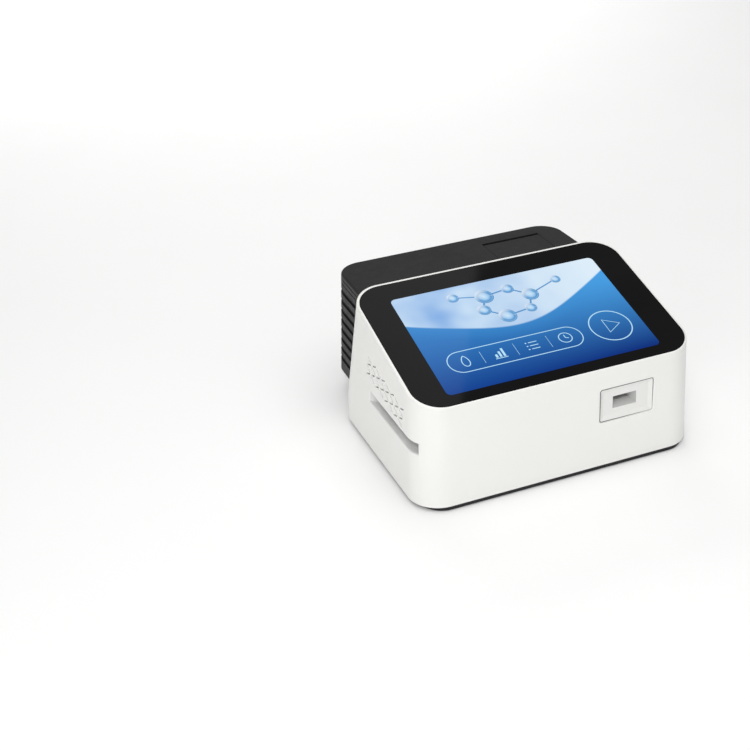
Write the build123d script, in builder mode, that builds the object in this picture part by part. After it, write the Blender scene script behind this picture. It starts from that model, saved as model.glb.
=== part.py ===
"""Bench-top immunofluorescence analyzer: a white front hood with a sloping touch screen, a cassette port on
its face, hand grips and lattice vents in its sides, and a ribbed black rear housing with a lidded printer.

Millimetres, +Z up, -Y towards the user. The origin is on the table under the middle of the whole box. Depths
named *_y are measured rearwards from the foot of the hood's front face.
"""

import os
from math import cos, pi, radians, sin, tan

from build123d import *

# Hood
overall_depth = 264.5
shell_width = 289.3
shell_bottom = 4.4
side_draft = 1.8
front_draft = 2.5
front_height = 104.3
slope = 14.9
rim_length = 180.8
hood_back_y = 206.5
front_corner = 30.0
back_corner = 28.0
kink_radius = 18.0
rim_round = 2.0
wall = 2.6
top_wall = 4.0

# Screen
glass_width = 276.7
glass_length = 171.2
glass_start = 6.15
glass_corner = 27.0
glass_thick = 1.8
glass_gap = 0.3
lcd_width = 229.0
lcd_length = 149.0
lcd_start = 5.5
lcd_thick = 5.0
lcd_gap = 1.5
bracket_sheet = 1.2
bracket_width = 254.0
bracket_screw_x = 122.0
bracket_screw_rise = (42.0, 124.0)

# Rear housing
tail_bottom = 27.0
tail_top = 137.4
tail_width = 260.0
tail_draft = 2.5
tail_taper = 1.0
tail_wall = 3.2
tail_corner = 25.0
tail_round = 2.4
tail_overlap = 6.0
seam_gap = 0.3
groove_depth = 1.8
groove_height = 5.0
groove_pitch = 11.0
groove_count = 8
first_groove_top = 121.0
line_drops = (5.0, 10.0)
line_height = 0.9
groove_margin = 2.0

# Cassette port
port_x = 64.4
port_z = 67.2
port_offset = 1.0
port_width = 56.8
port_height = 34.3
port_corner = 2.5
port_edge = 0.8
bezel_lap = 3.2
bezel_thick = 2.2
bezel_gap = 0.04
dish_gap = 0.3
dish_edge = 0.4
dish_slope = 4.6
dish_rise = 1.9
mouth_width = 25.2
mouth_height = 12.8
throat_width = 21.6
throat_height = 8.0
mouth_z = 67.3
funnel_length = 9.5
tube_length = 14.5
tube_wall = 1.8

# Hand grips
grip_low = 56.8
grip_high = 67.7
grip_depth = 14.0
grip_back_y = 123.0
grip_front_y = 17.0
grip_wall = 1.8
grip_fit = 0.42
grip_lip = 0.6
grip_play = 0.1
grip_sunk = 0.4
grip_end_slant = 13.0
grip_outside = 20.0

# Lattice vents
vent_columns = 8
vent_rows = 4
vent_first = (44.2, 90.0)
vent_column_step = (11.08, 1.6)
vent_row_step = (1.31, -5.45)
vent_slot = 9.5
vent_slot_width = 1.6
vent_corner = 0.5
vent_angles = (-19.0, 28.0)

# Base
base_bottom = 1.0
base_thick = 3.4
base_width = 274.0
base_front_y = 0.0
base_corner = 23.0
lip_wall = 2.5
plinth_width = 224.0
plinth_back_y = 250.0
plinth_corner = 12.0
plinth_start_y = 178.0
foot_radius = 9.0
foot_sunk = 1.2
front_foot = (104.0, 34.0)
back_foot = (96.0, 236.0)
boss_radius = 4.0
boss_height = 36.0
front_boss = (118.0, 16.0)
back_boss = (124.0, 188.0)
screw_radius = 1.5
screw_head = 3.0
screw_clear = 0.06
screw_hole_play = 0.2
screw_head_thick = 1.6
screw_recess = 1.8
foot_edge = 0.6
screw_length = 14.0
bracket_screw_bite = 2.0

# Cassette scanner
deck_top = 30.0
deck_sheet = 1.5
deck_flange = 9.0
deck_width = 74.0
deck_y = (14.0, 196.0)
pillar_inset = (6.0, 10.0)
rod_z = 50.5
rod_spread = 20.0
rod_radius = 3.0
running_gap = 0.05
seat_gap = 0.02
block_thick = 8.0
front_block_y = 18.0
rear_block_y = 150.0
block_half = 27.0
block_top = 56.5
saddle_y = (34.0, 80.0)
saddle_boss = 6.5
tray_y = (22.0, 100.0)
tray_low = 57.1
tray_floor = 63.1
tray_top = 69.5
tray_inner = 21.2
tray_side = 2.9
coupler_radius = 7.0
coupler_length = 14.0
motor_size = 35.0
motor_length = 26.0
motor_face_y = 176.0
plate_thick = 2.0
deck_window_y = (60.0, 120.0)
deck_window_length = 34.0
pillar_radius = 4.0
motor_corner = 4.0
motor_pilot = (9.9, 1.5)
motor_bracket_margin = 2.5
motor_bracket_hole = 10.0
motor_shaft_radius = 2.5
motor_bore_depth = 6.0

# Optics
optics_y = (82.0, 130.0)
optics_plate_z = 74.5
optics_plate = 3.0
leg_thick = 3.0
leg_foot = 5.0
head_size = (32.0, 30.0, 26.0)
head_y = 113.0
head_cap = 20.4
head_cap_inset = 4.0
leg_length = 30.0
lens_length = 14.0
lens_play = 0.3
lens_radius = 7.0
lens_bottom = 71.5
reader_size = (22.0, 11.0, 14.0)
reader_y = 89.0
reader_window = (16.0, 7.0)

# Printer
lid_x = 65.0
lid_width = 64.0
lid_front_y = 188.0
hinge_y = 235.0
hinge_radius = 5.0
hinge_pin_radius = 1.5
lid_thick = 2.5
lid_gap = 0.4
roll_radius = 19.0
roll_core = 6.0
roll_width = 57.0
roll_y = 213.5
roll_z = 108.5
roll_rest = 0.3
bucket_radius = 20.5
bucket_shelf_z = 116.0
bucket_wall = 2.0
bucket_inner = 65.0
bucket_front_y = 181.0
bucket_back_y = 243.2
platen_radius = 4.5
platen_width = 55.0
platen_y = 193.0
platen_z = 128.6
platen_shaft = 2.0
ear_radius = 3.2
ear_thick = 1.6
ear_gap = 0.3
head_gap = 0.6
head_bottom_z = 119.0
head_top_z = 131.0
printer_motor_radius = 9.5
printer_motor_length = 14.0
lid_rail = (0.8, 1.5)
lid_rail_inset = 5.0
lid_nose = 0.6
gear_module = 0.5
platen_teeth = 18
pinion_teeth = 12
gear_play = 0.1
gear_thick = 1.6
drive_shaft = 1.0

# Rear panel
window_half = 75.0
window_low = 38.0
window_high = 98.0
window_frame = 4.0
panel_back_y = 255.0
panel_thick = 2.0
panel_screw_bite = 3.5
fan_x = -50.0
fan_size = 40.0
fan_bore = 19.0
fan_depth = 10.0
rotor_radius = 18.2
hub_radius = 8.0
fan_shaft = 1.5
blade_count = 7
switch_x = 56.0
switch_z = 79.0
switch_size = (21.0, 15.0)
inlet_z = 52.0
inlet_radius = 5.5
inlet_bore = 3.1
rocker_swing = 14.0
usb_x = 22.0
lan_x = -6.0
io_board_z = 50.0
grille_slots = 14
grille_slot_width = 2.6
usb_mouth = (12.5, 5.1)
usb_depth = 14.0
lan_mouth = (11.8, 8.2)
lan_depth = 18.0
socket_wall = 1.0
socket_proud = 0.8
socket_play = 0.2
io_board_margin = 12.0
io_board_length = 30.0
inlet_flange = (1.0, 1.2)
inlet_length = 13.0
inlet_hole_depth = 10.0
switch_flange = (1.0, 1.5)
switch_cavity = (17.4, 11.8)
switch_depth = 12.0
rocker_depth = 3.0
rocker_stub = 1.2
rocker_stub_length = 1.0
rocker_side_gap = 0.2
fan_wall_thick = 1.5
fan_shaft_length = 7.0
fan_screw_pitch = 32.0
fan_screw_hole = 1.7
fan_spoke_width = 2.4
rotor_middle = 5.2
rotor_half = 3.0
blade_thick = 0.9
blade_chord = 8.0
blade_pitch = 38.0

# Main board
board_x = (-118.0, 16.0)
board_y = (30.0, 160.0)
board_z = 14.0
board_thick = 1.6
post_inset = 6.0
post_radius = 3.0
heat_sink_x = (-80.0, -40.0)
heat_sink_y = (70.0, 110.0)
heat_sink_base = 4.0
fin_count = 9
fin_pitch = 4.5
fin_thick = 2.0
fin_height = 8.0
chip_x = (-30.0, -16.0)
chip_rows = (60.0, 84.0)
chip_size = 14.0
chip_thick = 2.0
header_x = (-100.0, -50.0)
header_y = (146.0, 156.0)
header_height = 8.0
capacitor_x = -100.0
capacitor_ys = (60.0, 74.0, 88.0)
capacitor_radius = 5.0
capacitor_height = 13.0

front = -overall_depth / 2
tilt = radians(slope)
rim_plane = Plane(origin=(0, front, front_height), x_dir=(1, 0, 0), z_dir=(0, -sin(tilt), cos(tilt)))
base_top = base_bottom + base_thick
panel_z = (window_low + window_high) / 2
fan_z = panel_z

os.makedirs("parts", exist_ok=True)


def finish(piece, name):
    """Labels one finished piece and writes its file."""
    piece.label = name
    export_step(piece, f"parts/{name}.step")


def upright(y):
    """The vertical plane at a depth from the front, drawn as the user sees it: x to the right, z up."""
    return Plane(origin=(0, front + y, 0), x_dir=(1, 0, 0), z_dir=(0, -1, 0))


def slab(x_span, y_span, z_span, mode=Mode.ADD):
    """A box between two x values, two depths from the front and two heights."""
    size = [high - low for low, high in (x_span, y_span, z_span)]
    with Locations((x_span[0], front + y_span[0], z_span[0])):
        Box(*size, align=(Align.MIN, Align.MIN, Align.MIN), mode=mode)


def rod_along(x, y_span, z, radius, mode=Mode.ADD):
    """A cylinder running from front to back between two depths."""
    with Locations(Location((x, front + y_span[0], z), (-90, 0, 0))):
        Cylinder(radius, y_span[1] - y_span[0], align=(Align.CENTER, Align.CENTER, Align.MIN), mode=mode)


def bar_across(x_span, y, z, radius, mode=Mode.ADD):
    """A cylinder running from left to right between two x values."""
    with Locations(Location((x_span[0], front + y, z), (0, 90, 0))):
        Cylinder(radius, x_span[1] - x_span[0], align=(Align.CENTER, Align.CENTER, Align.MIN), mode=mode)


def between(centre, half):
    """The span reaching half each way from a centre."""
    return (centre - half, centre + half)


def hood_outline(inset, top_inset, drop):
    """The hood's side outline, moved in by inset, with its top lowered and its foot dropped."""
    lean = tan(radians(front_draft))
    rise = tan(tilt)
    face_y = front + inset
    rim_z = front_height - top_inset / cos(tilt)
    nose_z = (rim_z + rise * (inset - shell_bottom * lean)) / (1 - lean * rise)
    nose_y = face_y + (nose_z - shell_bottom) * lean
    along = rim_length - inset
    crest_y = front + along * cos(tilt) + top_inset * sin(tilt)
    crest_z = front_height + along * sin(tilt) - top_inset * cos(tilt)
    back_y = front + hood_back_y - inset
    kink_z = crest_z - (back_y - crest_y) / rise
    foot = shell_bottom - drop
    points = [
        (face_y - drop * lean, foot),
        (nose_y, nose_z),
        (crest_y, crest_z),
        (back_y, kink_z),
        (back_y, foot),
    ]
    return points, kink_z


def hood_form(inset, top_inset, drop, rounded):
    """The hood as a solid: drafted sides, rounded upright corners, a sloping top and a back square to it."""
    points, kink_z = hood_outline(inset, top_inset, drop)
    spread = drop * tan(radians(side_draft))
    with BuildPart() as form:
        with BuildSketch(Plane.XY.offset(shell_bottom - drop)):
            Rectangle(shell_width - 2 * inset + 2 * spread, 2 * overall_depth)
        extrude(amount=2 * front_height, taper=side_draft)
        with BuildSketch(Plane.YZ):
            Polygon(*points, align=None)
        extrude(amount=shell_width, both=True, mode=Mode.INTERSECT)
        across = form.edges().filter_by(Axis.X)
        fillet(across.filter_by_position(Axis.Z, kink_z - 1, kink_z + 1), kink_radius)
        steep = form.edges().filter_by(lambda edge: abs(edge.tangent_at(0.5).Z) > 0.9)
        fillet(steep.filter_by_position(Axis.Y, front + 50, front + overall_depth), back_corner - inset)
        steep = form.edges().filter_by(lambda edge: abs(edge.tangent_at(0.5).Z) > 0.9)
        fillet(steep.filter_by_position(Axis.Y, front - 20, front + 20), front_corner - inset)
        if rounded:
            top = form.faces().sort_by(Axis((0, 0, 0), tuple(rim_plane.z_dir)))[-1]
            fillet(top.edges(), rim_round)
    return form.part


def tail_form(inset, overlap):
    """The rear housing as a solid: tapered, rounded behind and cut square to the screen in front."""
    half = tail_width / 2 - inset
    reach = overall_depth / 2 - inset
    narrow = (reach - front - rim_length) * tan(radians(tail_taper))
    with BuildPart() as form:
        with BuildSketch(Plane.XY.offset(tail_bottom + inset)):
            shift = inset * tan(radians(tail_draft))
            Polygon(
                (-half + shift, front + rim_length - 90),
                (half - shift, front + rim_length - 90),
                (half - shift, front + rim_length),
                (half - narrow - shift, reach - shift),
                (narrow + shift - half, reach - shift),
                (-half + shift, front + rim_length),
                align=None,
            )
        extrude(amount=tail_top - tail_bottom - 2 * inset, taper=tail_draft)
        corners = form.edges().filter_by(lambda edge: abs(edge.tangent_at(0.5).Z) > 0.9)
        fillet(corners.sort_by(Axis.Y)[-2:], tail_corner - inset)
        if inset <= 0:
            rear_face = form.faces().sort_by(Axis.Z)[-1]
            brow = rear_face.edges().filter_by_position(Axis.Y, front + 100, overall_depth)
            fillet(brow, tail_round)
        cut = Plane(rim_plane.location * Location((0, rim_length - overlap, 0)))
        split(bisect_by=Plane(cut.origin, x_dir=(1, 0, 0), z_dir=tuple(rim_plane.y_dir)), keep=Keep.TOP)
    return form.part


def grip_band(outer, inner, front_y, back_y, height):
    """The sketch of the left grip seen from above: a band along the wall that starts on the front corner."""
    level = (grip_low + grip_high) / 2 - shell_bottom
    half = shell_width / 2 - level * tan(radians(side_draft))
    face = front + level * tan(radians(front_draft))
    far = overall_depth
    with BuildSketch(Plane.XY.offset(height)) as band:
        for inset, mode in ((outer, Mode.ADD), (inner, Mode.SUBTRACT)):
            with Locations((0, face + inset + far / 2)):
                RectangleRounded(2 * (half - inset), far, front_corner - min(inset, grip_depth), mode=mode)
        slant = grip_end_slant
        Polygon(
            (-half - grip_outside, front + front_y),
            (-half + front_corner, front + front_y),
            (-half + front_corner, front + back_y - slant),
            (-half + grip_depth, front + back_y - slant),
            (-half, front + back_y),
            (-half - grip_outside, front + back_y + slant * grip_outside / grip_depth),
            align=None,
            mode=Mode.INTERSECT,
        )
    return band.sketch


def gear_outline(teeth, turn):
    """A small spur gear's outline with straight-sided teeth, turned by a share of one tooth."""
    pitch_radius = teeth * gear_module / 2
    root = pitch_radius - 1.2 * gear_module
    tip = pitch_radius + 0.85 * gear_module
    foot_half = 0.9 * gear_module
    tip_half = 0.32 * gear_module
    with BuildSketch() as outline:
        Circle(root)
        with PolarLocations(0, teeth, start_angle=90 + turn * 360 / teeth):
            Polygon(
                (root * 0.96, -foot_half),
                (tip, -tip_half),
                (tip, tip_half),
                (root * 0.96, foot_half),
                align=None,
            )
    return outline.sketch


def mirrored(x_value, y_value):
    """The same place on both sides of the middle plane."""
    return [(x_value, y_value), (-x_value, y_value)]


base_screw_spots = [spot for boss in (front_boss, back_boss) for spot in mirrored(boss[0], front + boss[1])]
bracket_spots = [spot for rise in bracket_screw_rise for spot in mirrored(bracket_screw_x, rise)]

# Screw bosses inside the hood: four down to the base, four up to the screen bracket
with BuildPart() as shell_bosses:
    with BuildSketch(Plane.XY.offset(base_top)):
        with Locations(*base_screw_spots):
            Circle(boss_radius)
    extrude(amount=boss_height)
    rib = boss_radius / 2
    for side in (-1, 1):
        with Locations((side * front_boss[0], front + front_boss[1] / 2, base_top)):
            Box(rib, front_boss[1], boss_height, align=(Align.CENTER, Align.CENTER, Align.MIN))
        reach = shell_width / 2 - back_boss[0]
        with Locations((side * (back_boss[0] + reach / 2), front + back_boss[1], base_top)):
            Box(reach, rib, boss_height, align=(Align.CENTER, Align.CENTER, Align.MIN))
    with BuildSketch(rim_plane.offset(-glass_thick - lcd_thick)):
        with Locations(*bracket_spots):
            Circle(boss_radius - 0.4)
    extrude(amount=glass_thick + lcd_thick - top_wall + 0.5)
    add(hood_form(wall / 2, top_wall / 2, 0, False), mode=Mode.INTERSECT)

with BuildPart() as grip_space:
    add(grip_band(-wall, grip_depth, grip_front_y, grip_back_y, grip_low))
    extrude(amount=grip_high - grip_low)

# The opening for a grip clears the lip that lines it
grip_margin = grip_lip + grip_play
with BuildPart() as grip_opening:
    add(
        grip_band(
            -wall,
            grip_depth,
            grip_front_y - grip_margin,
            grip_back_y + grip_margin,
            grip_low - grip_margin,
        )
    )
    extrude(amount=grip_high - grip_low + 2 * grip_margin)

# Front hood
port_rim_y = wall / 2 + (port_z + port_height / 2 - shell_bottom) * tan(radians(front_draft))
with BuildPart() as front_shell:
    add(hood_form(0, 0, 0, True))
    add(hood_form(wall, top_wall, 2, False), mode=Mode.SUBTRACT)
    add(shell_bosses.part)
    with BuildSketch(rim_plane):
        with Locations((0, glass_start - glass_gap)):
            RectangleRounded(
                glass_width + 2 * glass_gap,
                glass_length + 2 * glass_gap,
                glass_corner + glass_gap,
                align=(Align.CENTER, Align.MIN),
            )
    extrude(amount=-glass_thick, mode=Mode.SUBTRACT)
    with BuildSketch(rim_plane):
        with Locations((0, glass_start + lcd_start - lcd_gap)):
            Rectangle(lcd_width + 2 * lcd_gap, lcd_length + 2 * lcd_gap, align=(Align.CENTER, Align.MIN))
    extrude(amount=-glass_thick - lcd_thick, mode=Mode.SUBTRACT)
    with BuildSketch(upright(-1)):
        with Locations((port_x + port_offset, port_z)):
            RectangleRounded(port_width, port_height, port_corner)
    extrude(amount=-4 * wall, mode=Mode.SUBTRACT)
    rim = front_shell.edges().filter_by_position(Axis.Y, front, front + port_rim_y)
    rim = rim.filter_by_position(Axis.X, *between(port_x + port_offset, port_width / 2 + 1))
    rim = rim.filter_by_position(Axis.Z, *between(port_z, port_height / 2 + 1))
    fillet(rim, port_edge)
    add(grip_opening.part, mode=Mode.SUBTRACT)
    add(mirror(grip_opening.part, about=Plane.YZ), mode=Mode.SUBTRACT)
    with BuildSketch(Plane.YZ) as lattice:
        for column in range(vent_columns):
            for row in range(vent_rows):
                along = front + vent_first[0] + column * vent_column_step[0] + row * vent_row_step[0]
                up = vent_first[1] + column * vent_column_step[1] + row * vent_row_step[1]
                with Locations((along, up)):
                    Rectangle(vent_slot, vent_slot_width, rotation=vent_angles[(column + row) % 2])
        chamfer(lattice.vertices(), vent_corner)
    extrude(amount=shell_width, both=True, mode=Mode.SUBTRACT)
    add(tail_form(-seam_gap, tail_overlap + 1), mode=Mode.SUBTRACT)
    slab(
        between(0, plinth_width / 2 + seam_gap),
        (hood_back_y - 2 * wall, overall_depth),
        (0, tail_bottom),
        mode=Mode.SUBTRACT,
    )
    with BuildSketch(Plane.XY.offset(base_top - 1)):
        with Locations(*base_screw_spots):
            Circle(screw_radius + screw_clear)
    extrude(amount=screw_length, mode=Mode.SUBTRACT)
    with BuildSketch(rim_plane.offset(-glass_thick - lcd_thick)):
        with Locations(*bracket_spots):
            Circle(screw_radius + screw_clear)
    extrude(amount=bracket_screw_bite, mode=Mode.SUBTRACT)
finish(front_shell.part, "front_shell")

# Screen
with BuildPart() as touch_glass:
    with BuildSketch(rim_plane.offset(-glass_thick)):
        with Locations((0, glass_start)):
            RectangleRounded(glass_width, glass_length, glass_corner, align=(Align.CENTER, Align.MIN))
    extrude(amount=glass_thick)
finish(touch_glass.part, "touch_glass")

with BuildPart() as lcd_module:
    with BuildSketch(rim_plane.offset(-glass_thick - lcd_thick)):
        with Locations((0, glass_start + lcd_start)):
            RectangleRounded(lcd_width, lcd_length, 2, align=(Align.CENTER, Align.MIN))
    extrude(amount=lcd_thick)
finish(lcd_module.part, "lcd_module")

with BuildPart() as lcd_bracket:
    sheet_plane = rim_plane.offset(-glass_thick - lcd_thick - bracket_sheet)
    middle = glass_start + lcd_start + lcd_length / 2
    with BuildSketch(sheet_plane):
        with Locations((0, middle)):
            RectangleRounded(bracket_width, lcd_length, 6)
        with Locations((-lcd_width / 4, middle), (lcd_width / 4, middle)):
            RectangleRounded(lcd_width * 0.4, lcd_length * 0.7, 5, mode=Mode.SUBTRACT)
        with Locations(*bracket_spots):
            Circle(screw_radius + screw_hole_play, mode=Mode.SUBTRACT)
    extrude(amount=bracket_sheet)
finish(lcd_bracket.part, "lcd_bracket")

with BuildPart() as bracket_screws:
    with BuildSketch(sheet_plane):
        with Locations(*bracket_spots):
            Circle(screw_head)
    extrude(amount=-screw_head_thick)
    with BuildSketch(sheet_plane):
        with Locations(*bracket_spots):
            Circle(screw_radius)
    extrude(amount=bracket_sheet + bracket_screw_bite - 0.3)
finish(bracket_screws.part, "bracket_screws")

# Cassette port: a plate behind the wall with a sloping frame in the recess, and a mouth that narrows inwards
port_face_y = wall + (port_z - shell_bottom) * tan(radians(front_draft)) + bezel_gap
port_lean = radians(front_draft)
bezel_plane = Plane(
    origin=(port_x + port_offset, front + port_face_y, port_z),
    x_dir=(1, 0, 0),
    z_dir=(0, -cos(port_lean), sin(port_lean)),
)
funnel_end_y = port_face_y + funnel_length
tube_end_y = port_face_y + tube_length
with BuildPart() as port_bezel:
    with BuildSketch(bezel_plane):
        RectangleRounded(port_width + 2 * bezel_lap, port_height + 2 * bezel_lap, port_corner)
    extrude(amount=-bezel_thick)
    with BuildSketch(bezel_plane):
        RectangleRounded(port_width - 2 * dish_gap, port_height - 2 * dish_gap, port_corner)
    extrude(amount=dish_rise)
    with BuildSketch(bezel_plane):
        RectangleRounded(port_width - 2 * dish_slope, port_height - 2 * dish_slope, port_corner / 2)
    with BuildSketch(bezel_plane.offset(dish_rise)):
        rim = 2 * (dish_gap + dish_edge)
        RectangleRounded(port_width - rim, port_height - rim, port_corner)
    loft(mode=Mode.SUBTRACT)
    with BuildSketch(upright(port_face_y + 1)):
        with Locations((port_x, mouth_z)):
            RectangleRounded(mouth_width + 2 * tube_wall, mouth_height + 2 * tube_wall, 1)
    extrude(amount=1 - tube_length)
    with BuildSketch(upright(port_face_y - bezel_thick / 4)):
        with Locations((port_x, mouth_z)):
            Rectangle(mouth_width, mouth_height)
    with BuildSketch(upright(funnel_end_y)):
        with Locations((port_x, mouth_z)):
            Rectangle(throat_width, throat_height)
    loft(mode=Mode.SUBTRACT)
    slab(
        between(port_x, throat_width / 2),
        (funnel_end_y - 0.5, tube_end_y + 1),
        between(mouth_z, throat_height / 2),
        mode=Mode.SUBTRACT,
    )
finish(port_bezel.part, "port_bezel")

# Hand grips: the left one, and its mirror image on the right
with BuildPart() as left_grip:
    add(
        grip_band(
            wall + grip_fit,
            grip_depth + grip_wall,
            grip_front_y - grip_wall,
            grip_back_y + grip_wall,
            grip_low - grip_wall,
        )
    )
    extrude(amount=grip_high - grip_low + 2 * grip_wall)
    add(
        grip_band(
            grip_sunk,
            wall + grip_fit + grip_lip,
            grip_front_y - grip_lip,
            grip_back_y + grip_lip,
            grip_low - grip_lip,
        )
    )
    extrude(amount=grip_high - grip_low + 2 * grip_lip)
    add(grip_space.part, mode=Mode.SUBTRACT)
finish(left_grip.part, "left_grip_liner")
finish(mirror(left_grip.part, about=Plane.YZ), "right_grip_liner")

# Rear housing: ribs are the metal left between grooves cut round the sides and back
groove_spans = [
    (first_groove_top - k * groove_pitch - groove_height, first_groove_top - k * groove_pitch)
    for k in range(groove_count)
]
groove_spans += [(tail_top - drop - line_height, tail_top - drop) for drop in line_drops]
with BuildPart() as grooves:
    for low, high in groove_spans:
        slab(between(0, tail_width), (rim_length - 20, overall_depth + 20), (low, high))
    add(tail_form(groove_depth, tail_overlap + 40), mode=Mode.SUBTRACT)
    slab(
        between(0, window_half + window_frame + 6),
        (panel_back_y - 5, overall_depth + 30),
        (tail_bottom, tail_top),
        mode=Mode.SUBTRACT,
    )
    rib_start = rim_plane.origin + rim_plane.y_dir * (rim_length + groove_margin)
    split(bisect_by=Plane(rib_start, x_dir=(1, 0, 0), z_dir=tuple(rim_plane.y_dir)), keep=Keep.TOP)

with BuildPart() as window_well:
    slab(
        between(0, window_half + window_frame),
        (panel_back_y, overall_depth),
        (window_low - window_frame, window_high + window_frame),
    )
    add(tail_form(tail_wall / 2, tail_overlap), mode=Mode.INTERSECT)

screw_offset = window_frame / 2
panel_screws = [
    (x, z)
    for x in between(0, window_half + screw_offset)
    for z in (window_low - screw_offset, window_high + screw_offset)
]
lid_front = lid_front_y - lid_gap
lid_back = hinge_y + hinge_radius + lid_gap
with BuildPart() as rear_housing:
    add(tail_form(0, tail_overlap))
    add(tail_form(tail_wall, tail_overlap + 10), mode=Mode.SUBTRACT)
    add(window_well.part)
    add(grooves.part, mode=Mode.SUBTRACT)
    slab(
        between(0, window_half),
        (panel_back_y - 1, overall_depth + 1),
        (window_low, window_high),
        mode=Mode.SUBTRACT,
    )
    slab(
        between(lid_x, lid_width / 2 + lid_gap),
        (lid_front, lid_back),
        (tail_top - tail_wall - 1, tail_top + 1),
        mode=Mode.SUBTRACT,
    )
    for screw_x, screw_z in panel_screws:
        rod_along(
            screw_x,
            (panel_back_y - 1, panel_back_y + panel_screw_bite),
            screw_z,
            screw_radius + screw_clear,
            mode=Mode.SUBTRACT,
        )
finish(rear_housing.part, "rear_housing")

# Rear panel with its fan grille and sockets
panel_front_y = panel_back_y - panel_thick
usb_pitch = usb_mouth[1] + 2 * socket_wall
usb_spots = [(usb_x, io_board_z + usb_pitch * (k + 0.5)) for k in range(2)]
lan_spot = (lan_x, io_board_z + lan_mouth[1] / 2 + socket_wall)
with BuildPart() as rear_panel:
    slab(
        between(0, window_half + window_frame),
        (panel_front_y, panel_back_y),
        (window_low - window_frame, window_high + window_frame),
    )
    with BuildSketch(upright(panel_front_y - 1)):
        with Locations((fan_x, fan_z)):
            with PolarLocations(fan_bore * 0.62, grille_slots):
                SlotOverall(fan_bore * 0.62, grille_slot_width)
        with Locations((switch_x, switch_z)):
            Rectangle(switch_size[0] + 2 * socket_play, switch_size[1] + 2 * socket_play)
        with Locations((switch_x, inlet_z)):
            Circle(inlet_radius + socket_play)
        rim = 2 * (socket_wall + socket_play)
        with Locations(*usb_spots):
            Rectangle(usb_mouth[0] + rim, usb_mouth[1] + rim)
        with Locations(lan_spot):
            Rectangle(lan_mouth[0] + rim, lan_mouth[1] + rim)
        with Locations(*panel_screws):
            Circle(screw_radius + screw_hole_play)
    extrude(amount=-panel_thick - 2, mode=Mode.SUBTRACT)
finish(rear_panel.part, "rear_panel")

with BuildPart() as panel_fasteners:
    with BuildSketch(upright(panel_front_y)):
        with Locations(*panel_screws):
            Circle(screw_head - 1)
    extrude(amount=screw_head_thick)
    with BuildSketch(upright(panel_front_y)):
        with Locations(*panel_screws):
            Circle(screw_radius)
    extrude(amount=-panel_thick - panel_screw_bite + 0.5)
finish(panel_fasteners.part, "panel_screws")


def receptacle(spots, mouth, depth):
    """Metal sockets in the rear panel, open to the back."""
    with BuildPart() as socket:
        for spot_x, spot_z in spots:
            slab(
                between(spot_x, mouth[0] / 2 + socket_wall),
                (panel_back_y + socket_proud - depth, panel_back_y + socket_proud),
                between(spot_z, mouth[1] / 2 + socket_wall),
            )
            slab(
                between(spot_x, mouth[0] / 2),
                (panel_back_y + socket_proud - depth + 2 * socket_wall, panel_back_y + socket_proud + 1),
                between(spot_z, mouth[1] / 2),
                mode=Mode.SUBTRACT,
            )
    return socket.part


finish(receptacle(usb_spots, usb_mouth, usb_depth), "usb_sockets")
finish(receptacle([lan_spot], lan_mouth, lan_depth), "network_socket")

with BuildPart() as io_board:
    board_end = panel_front_y - io_board_length
    slab(
        (lan_x - io_board_margin, usb_x + io_board_margin),
        (board_end, panel_front_y - seam_gap),
        (io_board_z - board_thick, io_board_z),
    )
    slab(
        (lan_x - io_board_margin + 2, usb_x + io_board_margin - 2),
        (board_end + 2, board_end + header_height),
        (io_board_z, io_board_z + header_height - 2),
    )
finish(io_board.part, "io_board")

with BuildPart() as power_inlet:
    flange_span = (panel_back_y, panel_back_y + inlet_flange[1])
    rod_along(switch_x, flange_span, inlet_z, inlet_radius + inlet_flange[0])
    rod_along(switch_x, (panel_back_y - inlet_length, panel_back_y), inlet_z, inlet_radius)
    bore_span = (panel_back_y - inlet_hole_depth, panel_back_y + inlet_flange[1] + 1)
    rod_along(switch_x, bore_span, inlet_z, inlet_bore, mode=Mode.SUBTRACT)
finish(power_inlet.part, "power_inlet")

# Power switch: the rocker turns on two stubs in the side walls of its case
rocker_y = panel_back_y - rocker_depth
with BuildPart() as switch_case:
    slab(
        between(switch_x, switch_size[0] / 2 + switch_flange[0]),
        (panel_back_y, panel_back_y + switch_flange[1]),
        between(switch_z, switch_size[1] / 2 + switch_flange[0]),
    )
    slab(
        between(switch_x, switch_size[0] / 2),
        (panel_back_y - switch_depth, panel_back_y),
        between(switch_z, switch_size[1] / 2),
    )
    slab(
        between(switch_x, switch_cavity[0] / 2),
        (panel_back_y - switch_depth + 2, panel_back_y + switch_flange[1] + 1),
        between(switch_z, switch_cavity[1] / 2),
        mode=Mode.SUBTRACT,
    )
    bar_across(
        between(switch_x, switch_cavity[0] / 2 + rocker_stub_length + rocker_side_gap),
        rocker_y,
        switch_z,
        rocker_stub + running_gap,
        mode=Mode.SUBTRACT,
    )
finish(switch_case.part, "switch_case")

rocker_lean = radians(rocker_swing / 2)
rocker_plane = Plane(
    origin=(switch_x - switch_cavity[0] / 2 + rocker_side_gap, front + rocker_y, switch_z),
    x_dir=(0, cos(rocker_lean), -sin(rocker_lean)),
    z_dir=(1, 0, 0),
)
with BuildPart() as power_rocker:
    with BuildSketch(rocker_plane):
        Polygon((-2, -3), (1.5, -5), (5.5, -5), (4.2, 0), (5.5, 5), (1.5, 5), (-2, 3), align=None)
    extrude(amount=switch_cavity[0] - 2 * rocker_side_gap)
    bar_across(between(switch_x, switch_cavity[0] / 2 + rocker_stub_length), rocker_y, switch_z, rocker_stub)
finish(power_rocker.part, "power_rocker")

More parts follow.
